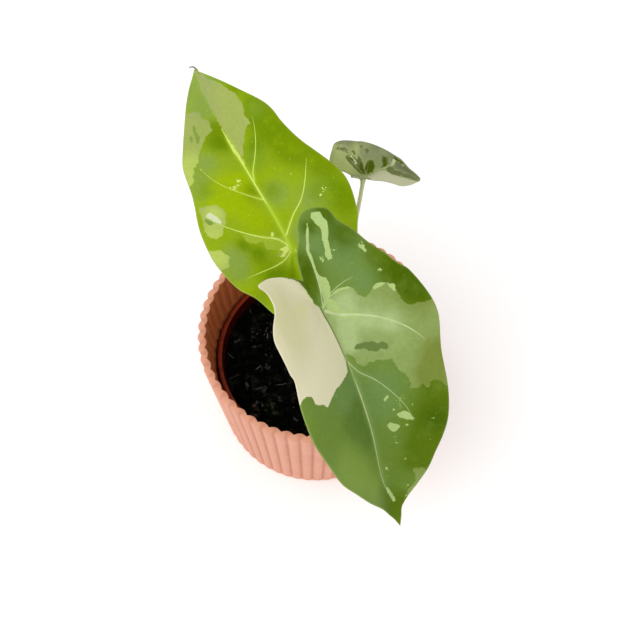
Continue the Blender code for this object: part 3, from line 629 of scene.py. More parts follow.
def tube(bm, route, radii, sides=12, lifts=None, flatness=1.0, fades=None):
    """A tube along the route, made ring by ring, and flattened in the upward directions where they are given.

    Its vertices keep how far its colour has faded there, towards its end where nothing else is given.
    """
    route = [Vector(place) for place in route]
    if fades is None:
        fades = np.linspace(0, 1, len(route))
    fade = bm.verts.layers.float.get("fade") or bm.verts.layers.float.new("fade")
    first = bmesh.ops.create_circle(bm, segments=sides, radius=1.0)["verts"]
    shape = [vert.co.copy() for vert in first]
    edges = list({edge for vert in first for edge in vert.link_edges})
    ring = first
    heading = Vector((0, 0, 1))
    turn = heading.rotation_difference(heading)
    for k, place in enumerate(route):
        ahead = (route[min(k + 1, len(route) - 1)] - route[max(k - 1, 0)]).normalized()
        turn = heading.rotation_difference(ahead) @ turn
        heading = ahead
        if k:
            made = bmesh.ops.extrude_edge_only(bm, edges=edges)["geom"]
            edges = [item for item in made if isinstance(item, bmesh.types.BMEdge) and item.is_boundary]
            fresh = {item for item in made if isinstance(item, bmesh.types.BMVert)}
            reached = [[edge.other_vert(vert) for edge in vert.link_edges] for vert in ring]
            ring = [next(other for other in others if other in fresh) for others in reached]
        if lifts is None:
            side, lift = turn @ Vector((1, 0, 0)), turn @ Vector((0, 1, 0))
        else:
            lift = Vector(lifts[k])
            side = ahead.cross(lift).normalized()
        wide, tall = float(radii[k]), float(flatness * radii[k])
        for vert, point in zip(ring, shape):
            vert.co = place + wide * point.x * side + tall * point.y * lift
            vert[fade] = float(fades[k])
    for loop in (first, ring):
        bmesh.ops.contextual_create(bm, geom=loop)


def smooth_line(points, shares=None, count=200):
    """Points on a centripetal Catmull-Rom curve, at shares of its length or evenly spaced."""
    points = np.array(points, float)
    ends = np.vstack([2 * points[0] - points[1], points, 2 * points[-1] - points[-2]])
    dense = []
    for p0, p1, p2, p3 in zip(ends, ends[1:], ends[2:], ends[3:]):
        t1 = np.linalg.norm(p1 - p0) ** 0.5
        t2 = t1 + np.linalg.norm(p2 - p1) ** 0.5
        t3 = t2 + np.linalg.norm(p3 - p2) ** 0.5
        for t in np.linspace(t1, t2, 12, endpoint=False):
            a1 = p0 + (p1 - p0) * t / t1
            a2 = p1 + (p2 - p1) * (t - t1) / (t2 - t1)
            a3 = p2 + (p3 - p2) * (t - t2) / (t3 - t2)
            b1 = a1 + (a2 - a1) * t / t2
            b2 = a2 + (a3 - a2) * (t - t1) / (t3 - t1)
            dense.append(b1 + (b2 - b1) * (t - t1) / (t2 - t1))
    dense.append(points[-1])
    dense = np.array(dense)
    reach = np.concatenate([[0.0], np.cumsum(np.linalg.norm(np.diff(dense, axis=0), axis=1))])
    shares = np.linspace(0, 1, count) if shares is None else np.asarray(shares)
    wanted = shares * reach[-1]
    return np.stack([np.interp(wanted, reach, dense[:, k]) for k in range(dense.shape[1])], axis=1)


def gap_to_line(places, line):
    """Distance of each place from a line of points, and how far along the line its nearest point is."""
    best = np.full(len(places), np.inf)
    share = np.zeros(len(places))
    for k, (start, end) in enumerate(zip(line, line[1:])):
        run = end - start
        part = np.clip(((places - start) @ run) / max(run @ run, 1e-12), 0, 1)
        gap = np.linalg.norm(places - start - part[:, None] * run, axis=1)
        closer = gap < best
        best = np.where(closer, gap, best)
        share = np.where(closer, (k + part) / (len(line) - 1), share)
    return best, share


def depth_in(places, outline):
    """Distance of each place from a closed outline: positive inside it, negative outside."""
    outline = np.array(outline, float)
    closed = np.vstack([outline, outline[:1]])
    gap = gap_to_line(places, closed)[0]
    crossings = np.zeros(len(places), int)
    for (ax, ay), (bx, by) in zip(closed, closed[1:]):
        if ay == by:
            continue
        spans = (ay > places[:, 1]) != (by > places[:, 1])
        crossings += spans & (places[:, 0] < ax + (bx - ax) * (places[:, 1] - ay) / (by - ay))
    return np.where(crossings % 2 == 1, gap, -gap)


# The bent leaves

# In millimetres: the dimple over the stalk, how much further away a vein's end counts, how far a vein tints
# the largest blade, the painted shade line's width, and the limit of the distances that a blade's mesh keeps
HOLLOW_RADIUS = 7.0
VEIN_END_GAP = 2.5
HALO_REACH = 1.2
DARK_LINE_WIDTH = 0.9
FAR = 9.0
# Where the midrib is brightest, and where a vein starts to take its end colour, as shares of the length
MIDRIB_BRIGHTEST = 0.66
FADE_START = 0.78


def blade_axes(leaf):
    """Directions of the tip, of the right side and of the upper face, at the stalk."""
    heading, pitch, roll = (radians(angle) for angle in (leaf.heading, leaf.pitch, leaf.roll))
    ahead = np.array((sin(heading) * cos(pitch), cos(heading) * cos(pitch), sin(pitch)))
    level = np.array((cos(heading), -sin(heading), 0.0))
    up = np.cross(level, ahead)
    return ahead, cos(roll) * level - sin(roll) * up, sin(roll) * level + cos(roll) * up


def bend(leaf, flat, lift=0.0):
    """Where points of the flat blade lie once its midrib, halves and lobes are bent."""
    ahead, right, up = blade_axes(leaf)
    along, across = flat[:, 0], flat[:, 1]
    droop = np.where(
        along >= 0,
        radians(leaf.tip_droop) * along / leaf.length,
        -radians(leaf.lobe_droop) * along / leaf.lobe_length,
    )
    forward = along * np.cos(droop / 2)
    height = -np.abs(along) * np.sin(droop / 2)
    tilt = np.where(along >= 0, -droop, droop)

    away = np.abs(across)
    rise = np.where(across >= 0, leaf.rise_right, leaf.rise_left)
    valley = 1000 * bpy.context.scene.alocasia_leaves.valley * leaf.half_width / LARGE_LEAF.half_width
    slope = np.radians(rise * away / (away + valley) - leaf.curl * away / leaf.half_width)
    side = across * np.cos(slope)
    rising = away * np.sin(slope)
    twist = radians(leaf.twist) * np.maximum(along, 0) / leaf.length
    turn_cos, turn_sin = np.cos(twist), np.sin(twist)
    side, rising = side * turn_cos + rising * turn_sin, rising * turn_cos - side * turn_sin

    hollow = leaf.dimple * (1 - np.exp(-((np.hypot(along, across) / HOLLOW_RADIUS) ** 2)))
    forward = forward - rising * np.sin(tilt)
    height = height + rising * np.cos(tilt) + hollow + lift
    place = forward[:, None] * ahead + side[:, None] * right + height[:, None] * up
    return MM * (np.array(leaf.joint) + place)


def upper_normal(leaf, flat):
    """Direction straight out of the upper face at points of the flat blade."""
    step = np.array((0.4, 0.0))
    ahead = bend(leaf, flat + step) - bend(leaf, flat - step)
    right = bend(leaf, flat + step[::-1]) - bend(leaf, flat - step[::-1])
    normal = np.cross(right, ahead)
    return normal / np.linalg.norm(normal, axis=1)[:, None]


def midrib_across(leaf, along):
    """How far across the midrib lies at a place along the blade."""
    tail, side = zip(*leaf.midrib)
    return np.interp(along, tail, side)


def flat_blade(leaf):
    """A grid laid into the flat outline: its middle line on the midrib, its sides on the edges."""
    bm = bmesh.new()
    bmesh.ops.create_grid(bm, x_segments=2 * leaf.columns, y_segments=leaf.rows, size=1.0)
    places = np.array([vert.co for vert in bm.verts])
    side = places[:, 0]
    share = (1 - places[:, 1]) / 2
    right = smooth_line(leaf.right_edge, share)
    left = smooth_line(leaf.left_edge, share)
    edge = np.where(side[:, None] >= 0, right, left)
    notch_along, notch_across = leaf.right_edge[-1]
    ahead = np.clip(1 - share / leaf.heart, 0, 1)
    behind = np.clip((share - leaf.heart) / (1 - leaf.heart), 0, 1)
    along = leaf.length * ahead + notch_along * behind
    across = np.where(along >= 0, midrib_across(leaf, along), notch_across * behind)
    root = np.stack([along, across], axis=1)
    flat = root + (edge - root) * np.abs(side)[:, None]
    for vert, (a, c) in zip(bm.verts, flat):
        vert.co = (c, a, 0)
    bmesh.ops.remove_doubles(bm, verts=bm.verts, dist=0.01)
    return bm


def vein_gap(leaf, flat):
    """Distance of each place from the nearest vein, counted longer towards a vein's end."""
    fading, ended = leaf.midrib[-4][0], leaf.midrib[-3][0]
    nearest = gap_to_line(flat, smooth_line(leaf.midrib, count=60))[0]
    nearest = nearest + VEIN_END_GAP * np.clip((flat[:, 0] - fading) / (ended - fading), 0, 1)
    for width, points in leaf.veins:
        if width:
            gap, share = gap_to_line(flat, smooth_line(points, count=40))
            nearest = np.minimum(nearest, gap + VEIN_END_GAP * share)
    return nearest


def edge_gap(leaf, flat):
    """Distance of each place from the blade's edge."""
    right, left = smooth_line(leaf.right_edge, count=160), smooth_line(leaf.left_edge, count=160)
    return gap_to_line(flat, np.vstack([right, left[::-1]]))[0]


def relief(leaf, flat):
    """How far the waves, the veins and the swelling between them lift the upper face."""
    settings = bpy.context.scene.alocasia_leaves
    scale = leaf.half_width / LARGE_LEAF.half_width
    edge, nearest = edge_gap(leaf, flat), vein_gap(leaf, flat) / scale
    turn = np.arctan2(flat[:, 1], flat[:, 0])
    wave_reach, swell_reach, sink_reach = 7, 5, 0.9
    waves = leaf.wave_height * np.sin(2 * leaf.waves * turn + 0.6) * np.exp(-edge / wave_reach)
    swell = settings.swell * (1 - np.exp(-((nearest / swell_reach) ** 2))) * np.clip(edge / 4, 0, 1)
    sink = settings.vein_sink * np.exp(-((nearest / sink_reach) ** 2)) * np.clip(edge / 1.5, 0, 1)
    return waves + scale * (swell - sink) / MM


def blade(leaf, materials):
    """One blade: bent with its relief, its markings kept as attributes in millimetres, then its thickness."""
    name = leaf.name + "_blade"
    piece = add_piece(name + "_leaf", flat_blade(leaf), materials, (name,), smooth_angle=180)
    mesh = piece.data
    raw = np.empty(3 * len(mesh.vertices))
    mesh.vertices.foreach_get("co", raw)
    flat = raw.reshape(-1, 3)[:, 1::-1]
    mesh.vertices.foreach_set("co", bend(leaf, flat, relief(leaf, flat)).ravel())

    halo_reach = HALO_REACH * leaf.half_width / LARGE_LEAF.half_width
    fields = {"edge": edge_gap(leaf, flat), "halo": np.exp(-((vein_gap(leaf, flat) / halo_reach) ** 2))}
    for mark in ("pale", "light", "cream", "dark"):
        depth = [depth_in(flat, outline) for outline in leaf.marks.get(mark, [])]
        fields[mark] = np.max(depth, axis=0) if depth else np.full(len(flat), -FAR)
    for tone, spots in leaf.tones.items():
        fields[tone] = sum(
            np.exp(-(((flat[:, 0] - along) ** 2 + (flat[:, 1] - across) ** 2) / radius**2))
            for along, across, radius in spots
        )
    for name, values in fields.items():
        attribute = mesh.attributes.new(name, "FLOAT", "POINT")
        attribute.data.foreach_set("value", np.clip(values, -FAR, FAR).astype(np.float32))
    corner = np.empty(len(mesh.loops), int)
    mesh.loops.foreach_get("vertex_index", corner)
    layer = mesh.uv_layers.new(name="flat")
    layer.data.foreach_set("uv", (flat[corner] / 100).astype(np.float32).ravel())

    solid = piece.modifiers.new("thickness", "SOLIDIFY")
    solid.thickness = bpy.context.scene.alocasia_leaves.thickness
    solid.offset = -1
    solid.use_even_offset = False
    solid.material_offset = 1
    solid.material_offset_rim = 2


def strip(bm, leaf, points, width, count=60, brightest=0.0):
    """A slim raised line in the upper face, as a vein shows from above, brightest at a share of it."""
    reach, narrowing, proud, flatness = 0.97, 0.75, 0.01, 0.35
    shares = np.linspace(0.0, reach, count)
    flat = smooth_line(points, shares)
    route = bend(leaf, flat, relief(leaf, flat) + proud)
    fades = np.abs(shares - brightest) / (1 - brightest)
    radii = MM * width / 2 * (1 - narrowing * shares)
    tube(bm, route, radii, sides=8, lifts=upper_normal(leaf, flat), flatness=flatness, fades=fades)


def upper_veins(leaf, material, shade_line_material):
    """The midrib and the veins that show from above, with the painted shade line beside the midrib."""
    bm = bmesh.new()
    strip(bm, leaf, leaf.midrib[:-2], leaf.midrib_width, 110, MIDRIB_BRIGHTEST)
    for width, points in leaf.veins:
        if width:
            strip(bm, leaf, points, width)
    add_tubes(leaf.name + "_veins", bm, material, 80)
    if leaf.dark_line:
        bm = bmesh.new()
        strip(bm, leaf, leaf.dark_line, DARK_LINE_WIDTH)
        add_tubes(leaf.name + "_midrib_shade", bm, shade_line_material, 80)


def ribs(leaf, material):
    """The midrib and the main veins, raised under the blade."""
    reach, narrowing, standing = 0.93, 0.85, 0.8
    bm = bmesh.new()
    lines = [(1.15 * leaf.midrib_width, leaf.midrib)]
    lines += [(0.2 + 0.2 * width, points) for width, points in leaf.veins]
    for radius, points in lines:
        shares = np.linspace(0.0, reach, 40)
        flat = smooth_line(points, shares)
        radii = MM * radius * (1 - narrowing * shares)
        under = bpy.context.scene.alocasia_leaves.thickness + standing * radii
        route = bend(leaf, flat, relief(leaf, flat)) - under[:, None] * upper_normal(leaf, flat)
        tube(bm, route, radii, sides=8)
    add_tubes(leaf.name + "_ribs", bm, material)


def tip_hook(leaf, material):
    """The dry hook that the blade's tip ends in."""
    rings, thick, thin = 16, 0.65, 0.2
    bm = bmesh.new()
    route = bend(leaf, smooth_line(leaf.hook, count=rings))
    tube(bm, route, MM * np.linspace(thick, thin, rings), sides=10)
    add_tubes(leaf.name + "_hook", bm, material)


def bezier(points, t):
    """Place at a share of a Bezier curve with the given control points."""
    while len(points) > 1:
        points = [a.lerp(b, t) for a, b in zip(points, points[1:])]
    return points[0]


def stalk(leaf, material):
    """A stalk with a broad sheathing foot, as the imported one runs, grown into the blade's underside."""
    up = Vector(blade_axes(leaf)[2])
    facts = leaf.stalk
    thick, thin = facts["radii"]
    buried, neck, overlap = 0.008, 0.006, 0.45 * MM
    foot = Vector((*(MM * value for value in facts["foot"]), SOIL_TOP))
    joint = MM * Vector(facts.get("head", leaf.joint))
    top = joint - MM * facts["drop"] * up
    bends = [foot, foot + Vector((0, 0, MM * facts["upright"])), MM * Vector(facts["shoulder"]), top]
    if facts["straight"]:
        bends.insert(3, top - neck * up)
    route = [foot - Vector((0, 0, buried))]
    radii = [MM * thick * 1.1]
    for t in np.linspace(0, 1, 56):
        route.append(bezier(bends, t))
        radii.append(MM * (thin + (thick - thin) * (1 - t) ** 1.4 + 0.5 * thin * exp(-((1 - t) / 0.02) ** 2)))
    route.append(joint - overlap * up)
    radii.append(radii[-1] * 1.15)
    bm = bmesh.new()
    tube(bm, route, radii, sides=20)
    add_tubes(leaf.name + "_stalk_stem", bm, material, 60, (leaf.name + "_stalk",))


# Pots and soil


def taper(low, high, foot_radius, top_radius):
    """Radius of a tapered wall as a function of the height."""
    return lambda z: foot_radius + (top_radius - foot_radius) * (z - low) / (high - low)


def mark_inside(bm, inner, low, high):
    """Gives the second material, which paints the inner face's shade, to the faces within the inner radius,
    between two heights.
    """
    for face in bm.faces:
        middle = face.calc_center_median()
        if low < middle.z < high and hypot(middle.x, middle.y) < inner(middle.z) + 0.0002:
            face.material_index = 1


def cover_pot_shell(settings, materials):
    """Fluted wall of even thickness: the ridges outside lie over the notches inside."""
    height, floor, wall, lip = POT_TOP, settings.floor, settings.wall, settings.lip
    outer = taper(0, height, settings.base_radius, settings.rim_radius)
    inner = taper(0, height, settings.base_radius - wall, settings.rim_radius - wall)
    heights = (0.015, 0.030, 0.045, 0.060)
    foot, small, corner = 0.0016, 0.45 * lip, 0.0014
    fluted_from, fluted_above = 0.040, 0.0022
    profile = [(0, 0), (0.030, 0), (settings.base_radius - settings.flute_depth - 0.0018, 0)]
    profile += arc((outer(foot) - foot, foot), foot, -80, 0, 5)
    profile += [(outer(z), z) for z in (0.006, *heights, height - 2 * lip)]
    profile += arc((outer(height) - lip, height - lip), lip, 0, 90, 5)
    profile += arc((inner(height) + small, height - small), small, 90, 180, 4)
    profile += [(inner(z), z) for z in (height - 3 * lip, *reversed(heights), floor + corner)]
    profile += arc((inner(0.0044) - corner, floor + corner), corner, 0, -90, 4)
    profile += [(0.020, floor), (0, floor)]
    bm = turned(profile, settings.flutes * settings.steps)
    groove = bm.verts.layers.float.new("groove")
    for vert in bm.verts:
        x, y, z = vert.co
        radius = hypot(x, y)
        if radius < fluted_from:
            continue
        phase = settings.flutes * np.arctan2(y, x) / 2
        if radius > outer(z) - wall / 2:
            vert[groove] = min(1.0, z / fluted_above) * (1 - abs(cos(phase)))
        else:
            vert[groove] = abs(sin(phase))
        depth = settings.flute_depth * vert[groove]
        vert.co.x -= depth * x / radius
        vert.co.y -= depth * y / radius
    mark_inside(bm, inner, floor / 2, height - 0.8 * lip)
    add_piece("cover_pot_shell", bm, materials, ("cover_pot",), 50)


def nursery_pot_shell(settings, materials):
    """Thin round pot with a rolled lip and drain holes."""
    low, high, wall, rim = NURSERY_FOOT, NURSERY_TOP, settings.wall, settings.rim_radius
    outer = taper(low, high, settings.base_radius, settings.body_radius)
    inner = taper(low, high, settings.base_radius - wall, settings.body_radius - wall)
    lip_foot = high - settings.lip_height
    roll, corner, small, steps = 0.00055, 0.0012, 0.0003, 160
    profile = [(0, low), (0.030, low)]
    profile += arc((settings.base_radius - corner, low + corner), corner, -90, 0, 4)
    profile += [(outer(z), z) for z in (low + 0.015, low + 0.030, lip_foot)]
    profile += arc((rim - small, lip_foot + small), small, -90, 0, 2)
    profile += arc((rim - roll, high - roll), roll, 0, 90, 4)
    profile += arc((inner(high) + roll, high - roll), roll, 90, 180, 4)
    profile += [(inner(z), z) for z in (low + 0.030, low + 0.015, low + wall + 0.001)]
    profile += [(settings.base_radius - wall - 0.001, low + wall), (0.020, low + wall), (0, low + wall)]
    bm = turned(profile, steps)
    mark_inside(bm, inner, low + wall / 2, high - 1.5 * roll)
    pot = add_piece("nursery_pot_shell", bm, materials, ("nursery_pot",), 40)
    cutters = bmesh.new()
    ring, hole = settings.drain_ring, settings.drain_radius
    for k in range(6):
        place = Matrix.Translation((ring * cos(tau * k / 6), ring * sin(tau * k / 6), low))
        bmesh.ops.create_cone(
            cutters, cap_ends=True, segments=24, radius1=hole, radius2=hole, depth=0.006, matrix=place
        )
    tool = add_object("drain_holes", mesh_of("drain_holes", cutters))
    boolean = pot.modifiers.new("drain", "BOOLEAN")
    boolean.operation = "DIFFERENCE"
    boolean.object = tool
    baked = bpy.data.meshes.new_from_object(pot.evaluated_get(bpy.context.evaluated_depsgraph_get()))
    pot.modifiers.clear()
    pot.data = baked
    bpy.data.objects.remove(tool, do_unlink=True)


def soil_height(settings, x, y):
    """The packed soil's lumps, with the crumbly surface of loose soil on them."""
    place = Vector((x, y, 0)) / settings.lump_size
    lumps = noise.noise(place) + 0.5 * noise.noise(2.1 * place + Vector((7, 3, 1)))
    edge = (hypot(x, y) / LUMPS_END) ** 4
    crumble = CRUMBLE_HEIGHT * (noise.turbulence(Vector((x, y, 0.3)) / CRUMBLE_SIZE, 3, False) - 0.5)
    return SOIL_TOP + settings.lump_height * (lumps * (1 - 0.6 * edge) - 0.8 * edge) + crumble


def soil_bed(settings, material):
    """The soil's body, with a rough upper face."""
    rings, steps = 70, 220
    profile = [(0, SOIL_FOOT), (0.030, SOIL_FOOT), (SOIL_FOOT_RADIUS, SOIL_FOOT)]
    profile += [(SOIL_RADIUS, SOIL_TOP - 0.002)]
    profile += [(SOIL_RADIUS * (1 - k / rings), SOIL_TOP) for k in range(1, rings + 1)]
    bm = turned(profile, steps)
    for vert in bm.verts:
        if vert.co.z > SOIL_TOP - 0.001:
            vert.co.z = soil_height(settings, vert.co.x, vert.co.y)
    add_piece("soil_bed", bm, [material], ("soil",), 180)


def scattered(count, seed, reach, middle=(0.0, 0.0)):
    """Seeded places within reach of the soil's middle, or of a spot on it."""
    dice = random.Random(seed)
    for _ in range(count):
        turn = tau * dice.random()
        radius = reach * dice.random() ** 0.5
        yield dice, middle[0] + radius * cos(turn), middle[1] + radius * sin(turn)


def soil_crumbs(settings, name, places, material):
    """Loose lumps at the places, each a rough little stone shape."""
    bm = bmesh.new()
    for dice, x, y in places:
        size = 0.00035 + 0.0019 * dice.random() ** 2.5
        place = Matrix.Translation((x, y, soil_height(settings, x, y) + 0.25 * size))
        turn = Euler((tau * dice.random(), tau * dice.random(), 0)).to_matrix().to_4x4()
        stretch = Matrix.Diagonal((1.0, 0.55 + 0.45 * dice.random(), 0.5 + 0.4 * dice.random(), 1.0))
        made = bmesh.ops.create_icosphere(bm, subdivisions=1, radius=size, matrix=place @ turn @ stretch)
        for vert in made["verts"]:
            vert.co += 0.22 * size * Vector((dice.random() - 0.5, dice.random() - 0.5, dice.random() - 0.5))
    add_piece(name, bm, [material], smooth_angle=30)


def bark_chips(settings, material):
    """Thin slivers of bark that lie in the soil."""
    bm = bmesh.new()
    for dice, x, y in scattered(settings.chips, 5, CHIP_REACH):
        long = 0.0014 + 0.0040 * dice.random() ** 1.5
        place = Matrix.Translation((x, y, soil_height(settings, x, y) + 0.0003))
        turn = Euler((0.5 * (dice.random() - 0.5), 0.5 * (dice.random() - 0.5), tau * dice.random()))
        size = Matrix.Diagonal((long, 0.25 * long + 0.0003, 0.00035, 1.0))
        made = bmesh.ops.create_cube(bm, size=1.0, matrix=place @ turn.to_matrix().to_4x4() @ size)
        edges = list({edge for vert in made["verts"] for edge in vert.link_edges})
        bmesh.ops.bevel(bm, geom=edges, offset=0.0001, affect="EDGES", segments=1, profile=0.5, material=-1)
    add_piece("bark_chips", bm, [material], smooth_angle=30)


def root_fibres(settings, material):
    """Dry root fibres on the soil: the long ones that catch the eye, then the rest."""
    bm = bmesh.new()
    joints, slight_curl = 8, 0.25
    strands = [(*fibre, slight_curl) for fibre in LONG_FIBRES]
    for dice, x, y in scattered(settings.fibres, 23, FIBRE_REACH):
        heading, length = tau * dice.random(), 0.0016 + 0.0034 * dice.random()
        strands.append((x, y, heading, length, 1.1 * (dice.random() - 0.5)))
    dice = random.Random(31)
    for x, y, heading, length, curl in strands:
        route = []
        for _ in range(joints + 1):
            route.append((x, y, soil_height(settings, x, y) + 0.0004))
            heading += curl / joints
            x += length / joints * cos(heading)
            y += length / joints * sin(heading)
            if hypot(x, y) > FIBRE_LIMIT:
                break
        if len(route) > 3:
            tube(bm, route, [0.00008 + 0.00009 * dice.random()] * len(route), sides=5)
    add_tubes("root_fibres", bm, material, 80)


# Finishes

SHEEN_TINT = (0.8, 1.0, 0.35)


class Finish:
    """A material's node tree, with short calls for the nodes that the finishes share."""

    def __init__(self, name, roughness, specular=0.4):
        self.material = bpy.data.materials.new(name)
        self.material.use_nodes = True
        self.tree = self.material.node_tree
        self.shader = self.tree.nodes["Principled BSDF"]
        self.shader.inputs["Roughness"].default_value = roughness
        self.shader.inputs["Specular IOR Level"].default_value = specular

    def node(self, kind, inputs=None, **settings):
        """A new node with its settings, and its inputs by name or number."""
        made = self.tree.nodes.new(kind)
        for key, value in settings.items():
            setattr(made, key, value)
        for key, value in (inputs or {}).items():
            self.feed(made.inputs[key], value)
        return made

    def feed(self, socket, value):
        """Links another node's output to a socket, or sets the socket's own value."""
        if isinstance(value, bpy.types.NodeSocket):
            self.tree.links.new(value, socket)
        elif socket.type == "RGBA":
            socket.default_value = (*value, 1.0)
        else:
            socket.default_value = value

    def place(self):
        """Coordinates in metres, as the piece stands."""
        return self.node("ShaderNodeTexCoord").outputs["Object"]

    def flat(self):
        """Coordinates in the blade's own flat, in decimetres."""
        return self.node("ShaderNodeUVMap", uv_map="flat").outputs["UV"]

    def field(self, name):
        """The number that a mesh keeps under this name."""
        return self.node("ShaderNodeAttribute", attribute_name=name).outputs["Fac"]

    def noise(self, where, scale, detail=3.0, roughness=0.5):
        inputs = {"Vector": where, "Scale": scale, "Detail": detail, "Roughness": roughness}
        return self.node("ShaderNodeTexNoise", inputs).outputs["Fac"]

    def stretched(self, where, scale):
        return self.node("ShaderNodeMapping", {"Vector": where, "Scale": scale}).outputs["Vector"]

    def math(self, operation, first, second=0.0, third=0.0):
        made = self.node("ShaderNodeMath", operation=operation)
        for socket, value in zip(made.inputs, (first, second, third)):
            self.feed(socket, value)
        return made.outputs["Value"]

    def step(self, value, low, high, bottom=0.0, top=1.0):
        """Smooth change from bottom to top as the value goes from low to high."""
        inputs = {"Value": value, "From Min": low, "From Max": high, "To Min": bottom, "To Max": top}
        return self.node("ShaderNodeMapRange", inputs, interpolation_type="SMOOTHSTEP").outputs["Result"]

    def clouds(self, where, scale, detail, low, high, bottom=0.0, top=1.0, roughness=0.5):
        """Noise that changes smoothly from bottom to top between two of its values."""
        return self.step(self.noise(where, scale, detail, roughness), low, high, bottom, top)

    def times(self, first, second):
        """The product of two numbers."""
        return self.math("MULTIPLY", first, second)

    def capped(self, value, top):
        """The value, but never over the top."""
        return self.math("MINIMUM", value, top)

    def mix(self, factor, first, second):
        """First colour at 0, second at 1. A Mix node's colour sockets come after those of its other kinds."""
        made = self.node("ShaderNodeMix", data_type="RGBA")
        self.feed(made.inputs["Factor"], factor)
        self.feed(made.inputs[6], first)
        self.feed(made.inputs[7], second)
        return made.outputs[2]

    def bump(self, height, distance, strength=1.0, below=None):
        inputs = {"Height": height, "Distance": distance, "Strength": strength}
        if below is not None:
            inputs["Normal"] = below
        return self.node("ShaderNodeBump", inputs).outputs["Normal"]

    def color(self, value):
        self.feed(self.shader.inputs["Base Color"], value)

    def rough(self, value):
        self.feed(self.shader.inputs["Roughness"], value)

    def relief(self, value):
        self.feed(self.shader.inputs["Normal"], value)


def pot_finish(name, color, groove_shade_tone):
    """Matt moulded plastic: painted shade in the grooves, faintly clouded, with a fine grain."""
    finish = Finish(name, 0.58, 0.25)
    where = finish.place()
    clouds = finish.clouds(where, 38.0, 3.0, 0.35, 0.7, 0.0, 0.12)
    # The groove mask paints shade into the grooves
    groove = finish.step(finish.field("groove"), 0.25, 1.0, 0.0, 0.6)
    finish.color(finish.mix(finish.math("ADD", clouds, groove), color, groove_shade_tone))
    finish.rough(finish.clouds(where, 220.0, 2.0, 0.3, 0.7, 0.5, 0.64))
    finish.relief(finish.bump(finish.noise(where, 1600.0, 2.0), 0.00005, 0.5))
    return finish.material


def nursery_finish(name, color):
    """Smooth thin plastic, dusted with soil."""
    finish = Finish(name, 0.4, 0.2)
    where = finish.place()
    dust = finish.clouds(where, 240.0, 4.0, 0.5, 0.72)
    finish.color(finish.mix(finish.times(dust, 0.5), color, srgb(44, 16, 8)))
    finish.rough(finish.step(dust, 0.0, 1.0, 0.38, 0.7))
    finish.relief(finish.bump(finish.noise(where, 900.0, 2.0), 0.00004, 0.4))
    return finish.material


def soil_finish(settings, name, bright):
    """Damp black soil, a little greyer where it is dry."""
    finish = Finish(name, 0.9, 0.01)
    where = finish.place()
    dry = finish.clouds(where, 260.0, 5.0, 0.5, 0.78, roughness=0.65)
    finish.color(finish.mix(finish.times(dry, bright), settings.color, settings.dry_color))
    finish.rough(finish.clouds(where, 500.0, 3.0, 0.35, 0.65, 0.6, 0.95))
    finish.relief(finish.bump(finish.noise(where, 1500.0, 4.0, 0.7), 0.0003, 0.9))
    return finish.material


def chip_finish():
    """Dark bark with a dull sheen and a grain."""
    finish = Finish("bark_sliver", 0.5, 0.2)
    where = finish.place()
    grain = finish.noise(finish.stretched(where, (900.0, 220.0, 900.0)), 1.0, 3.0)
    finish.color(finish.mix(finish.step(grain, 0.35, 0.7), srgb(10, 10, 10), srgb(46, 46, 43)))
    finish.relief(finish.bump(grain, 0.0001, 0.6))
    return finish.material


def fibre_finish(settings):
    """Dry, pale root with browner stretches."""
    finish = Finish("dry_root", 0.7, 0.3)
    where = finish.place()
    finish.color(finish.mix(finish.noise(where, 500.0, 2.0), srgb(70, 62, 50), settings.fibre_color))
    return finish.material


def stalk_finish(settings):
    """Smooth stalk with fine lengthways lines, greener towards the soil."""
    finish = Finish("leaf_stalk", 0.42, 0.45)
    where = finish.place()
    lines = finish.noise(finish.stretched(where, (1500.0, 1500.0, 60.0)), 1.0, 3.0)
    height = finish.node("ShaderNodeSeparateXYZ", {"Vector": where}).outputs["Z"]
    base = finish.mix(finish.step(height, 0.045, 0.105), settings.stalk_foot, settings.stalk)
    finish.color(finish.mix(finish.times(finish.step(lines, 0.4, 0.7), 0.35), base, srgb(140, 156, 92)))
    finish.relief(finish.bump(lines, 0.00005, 0.5))
    return finish.material


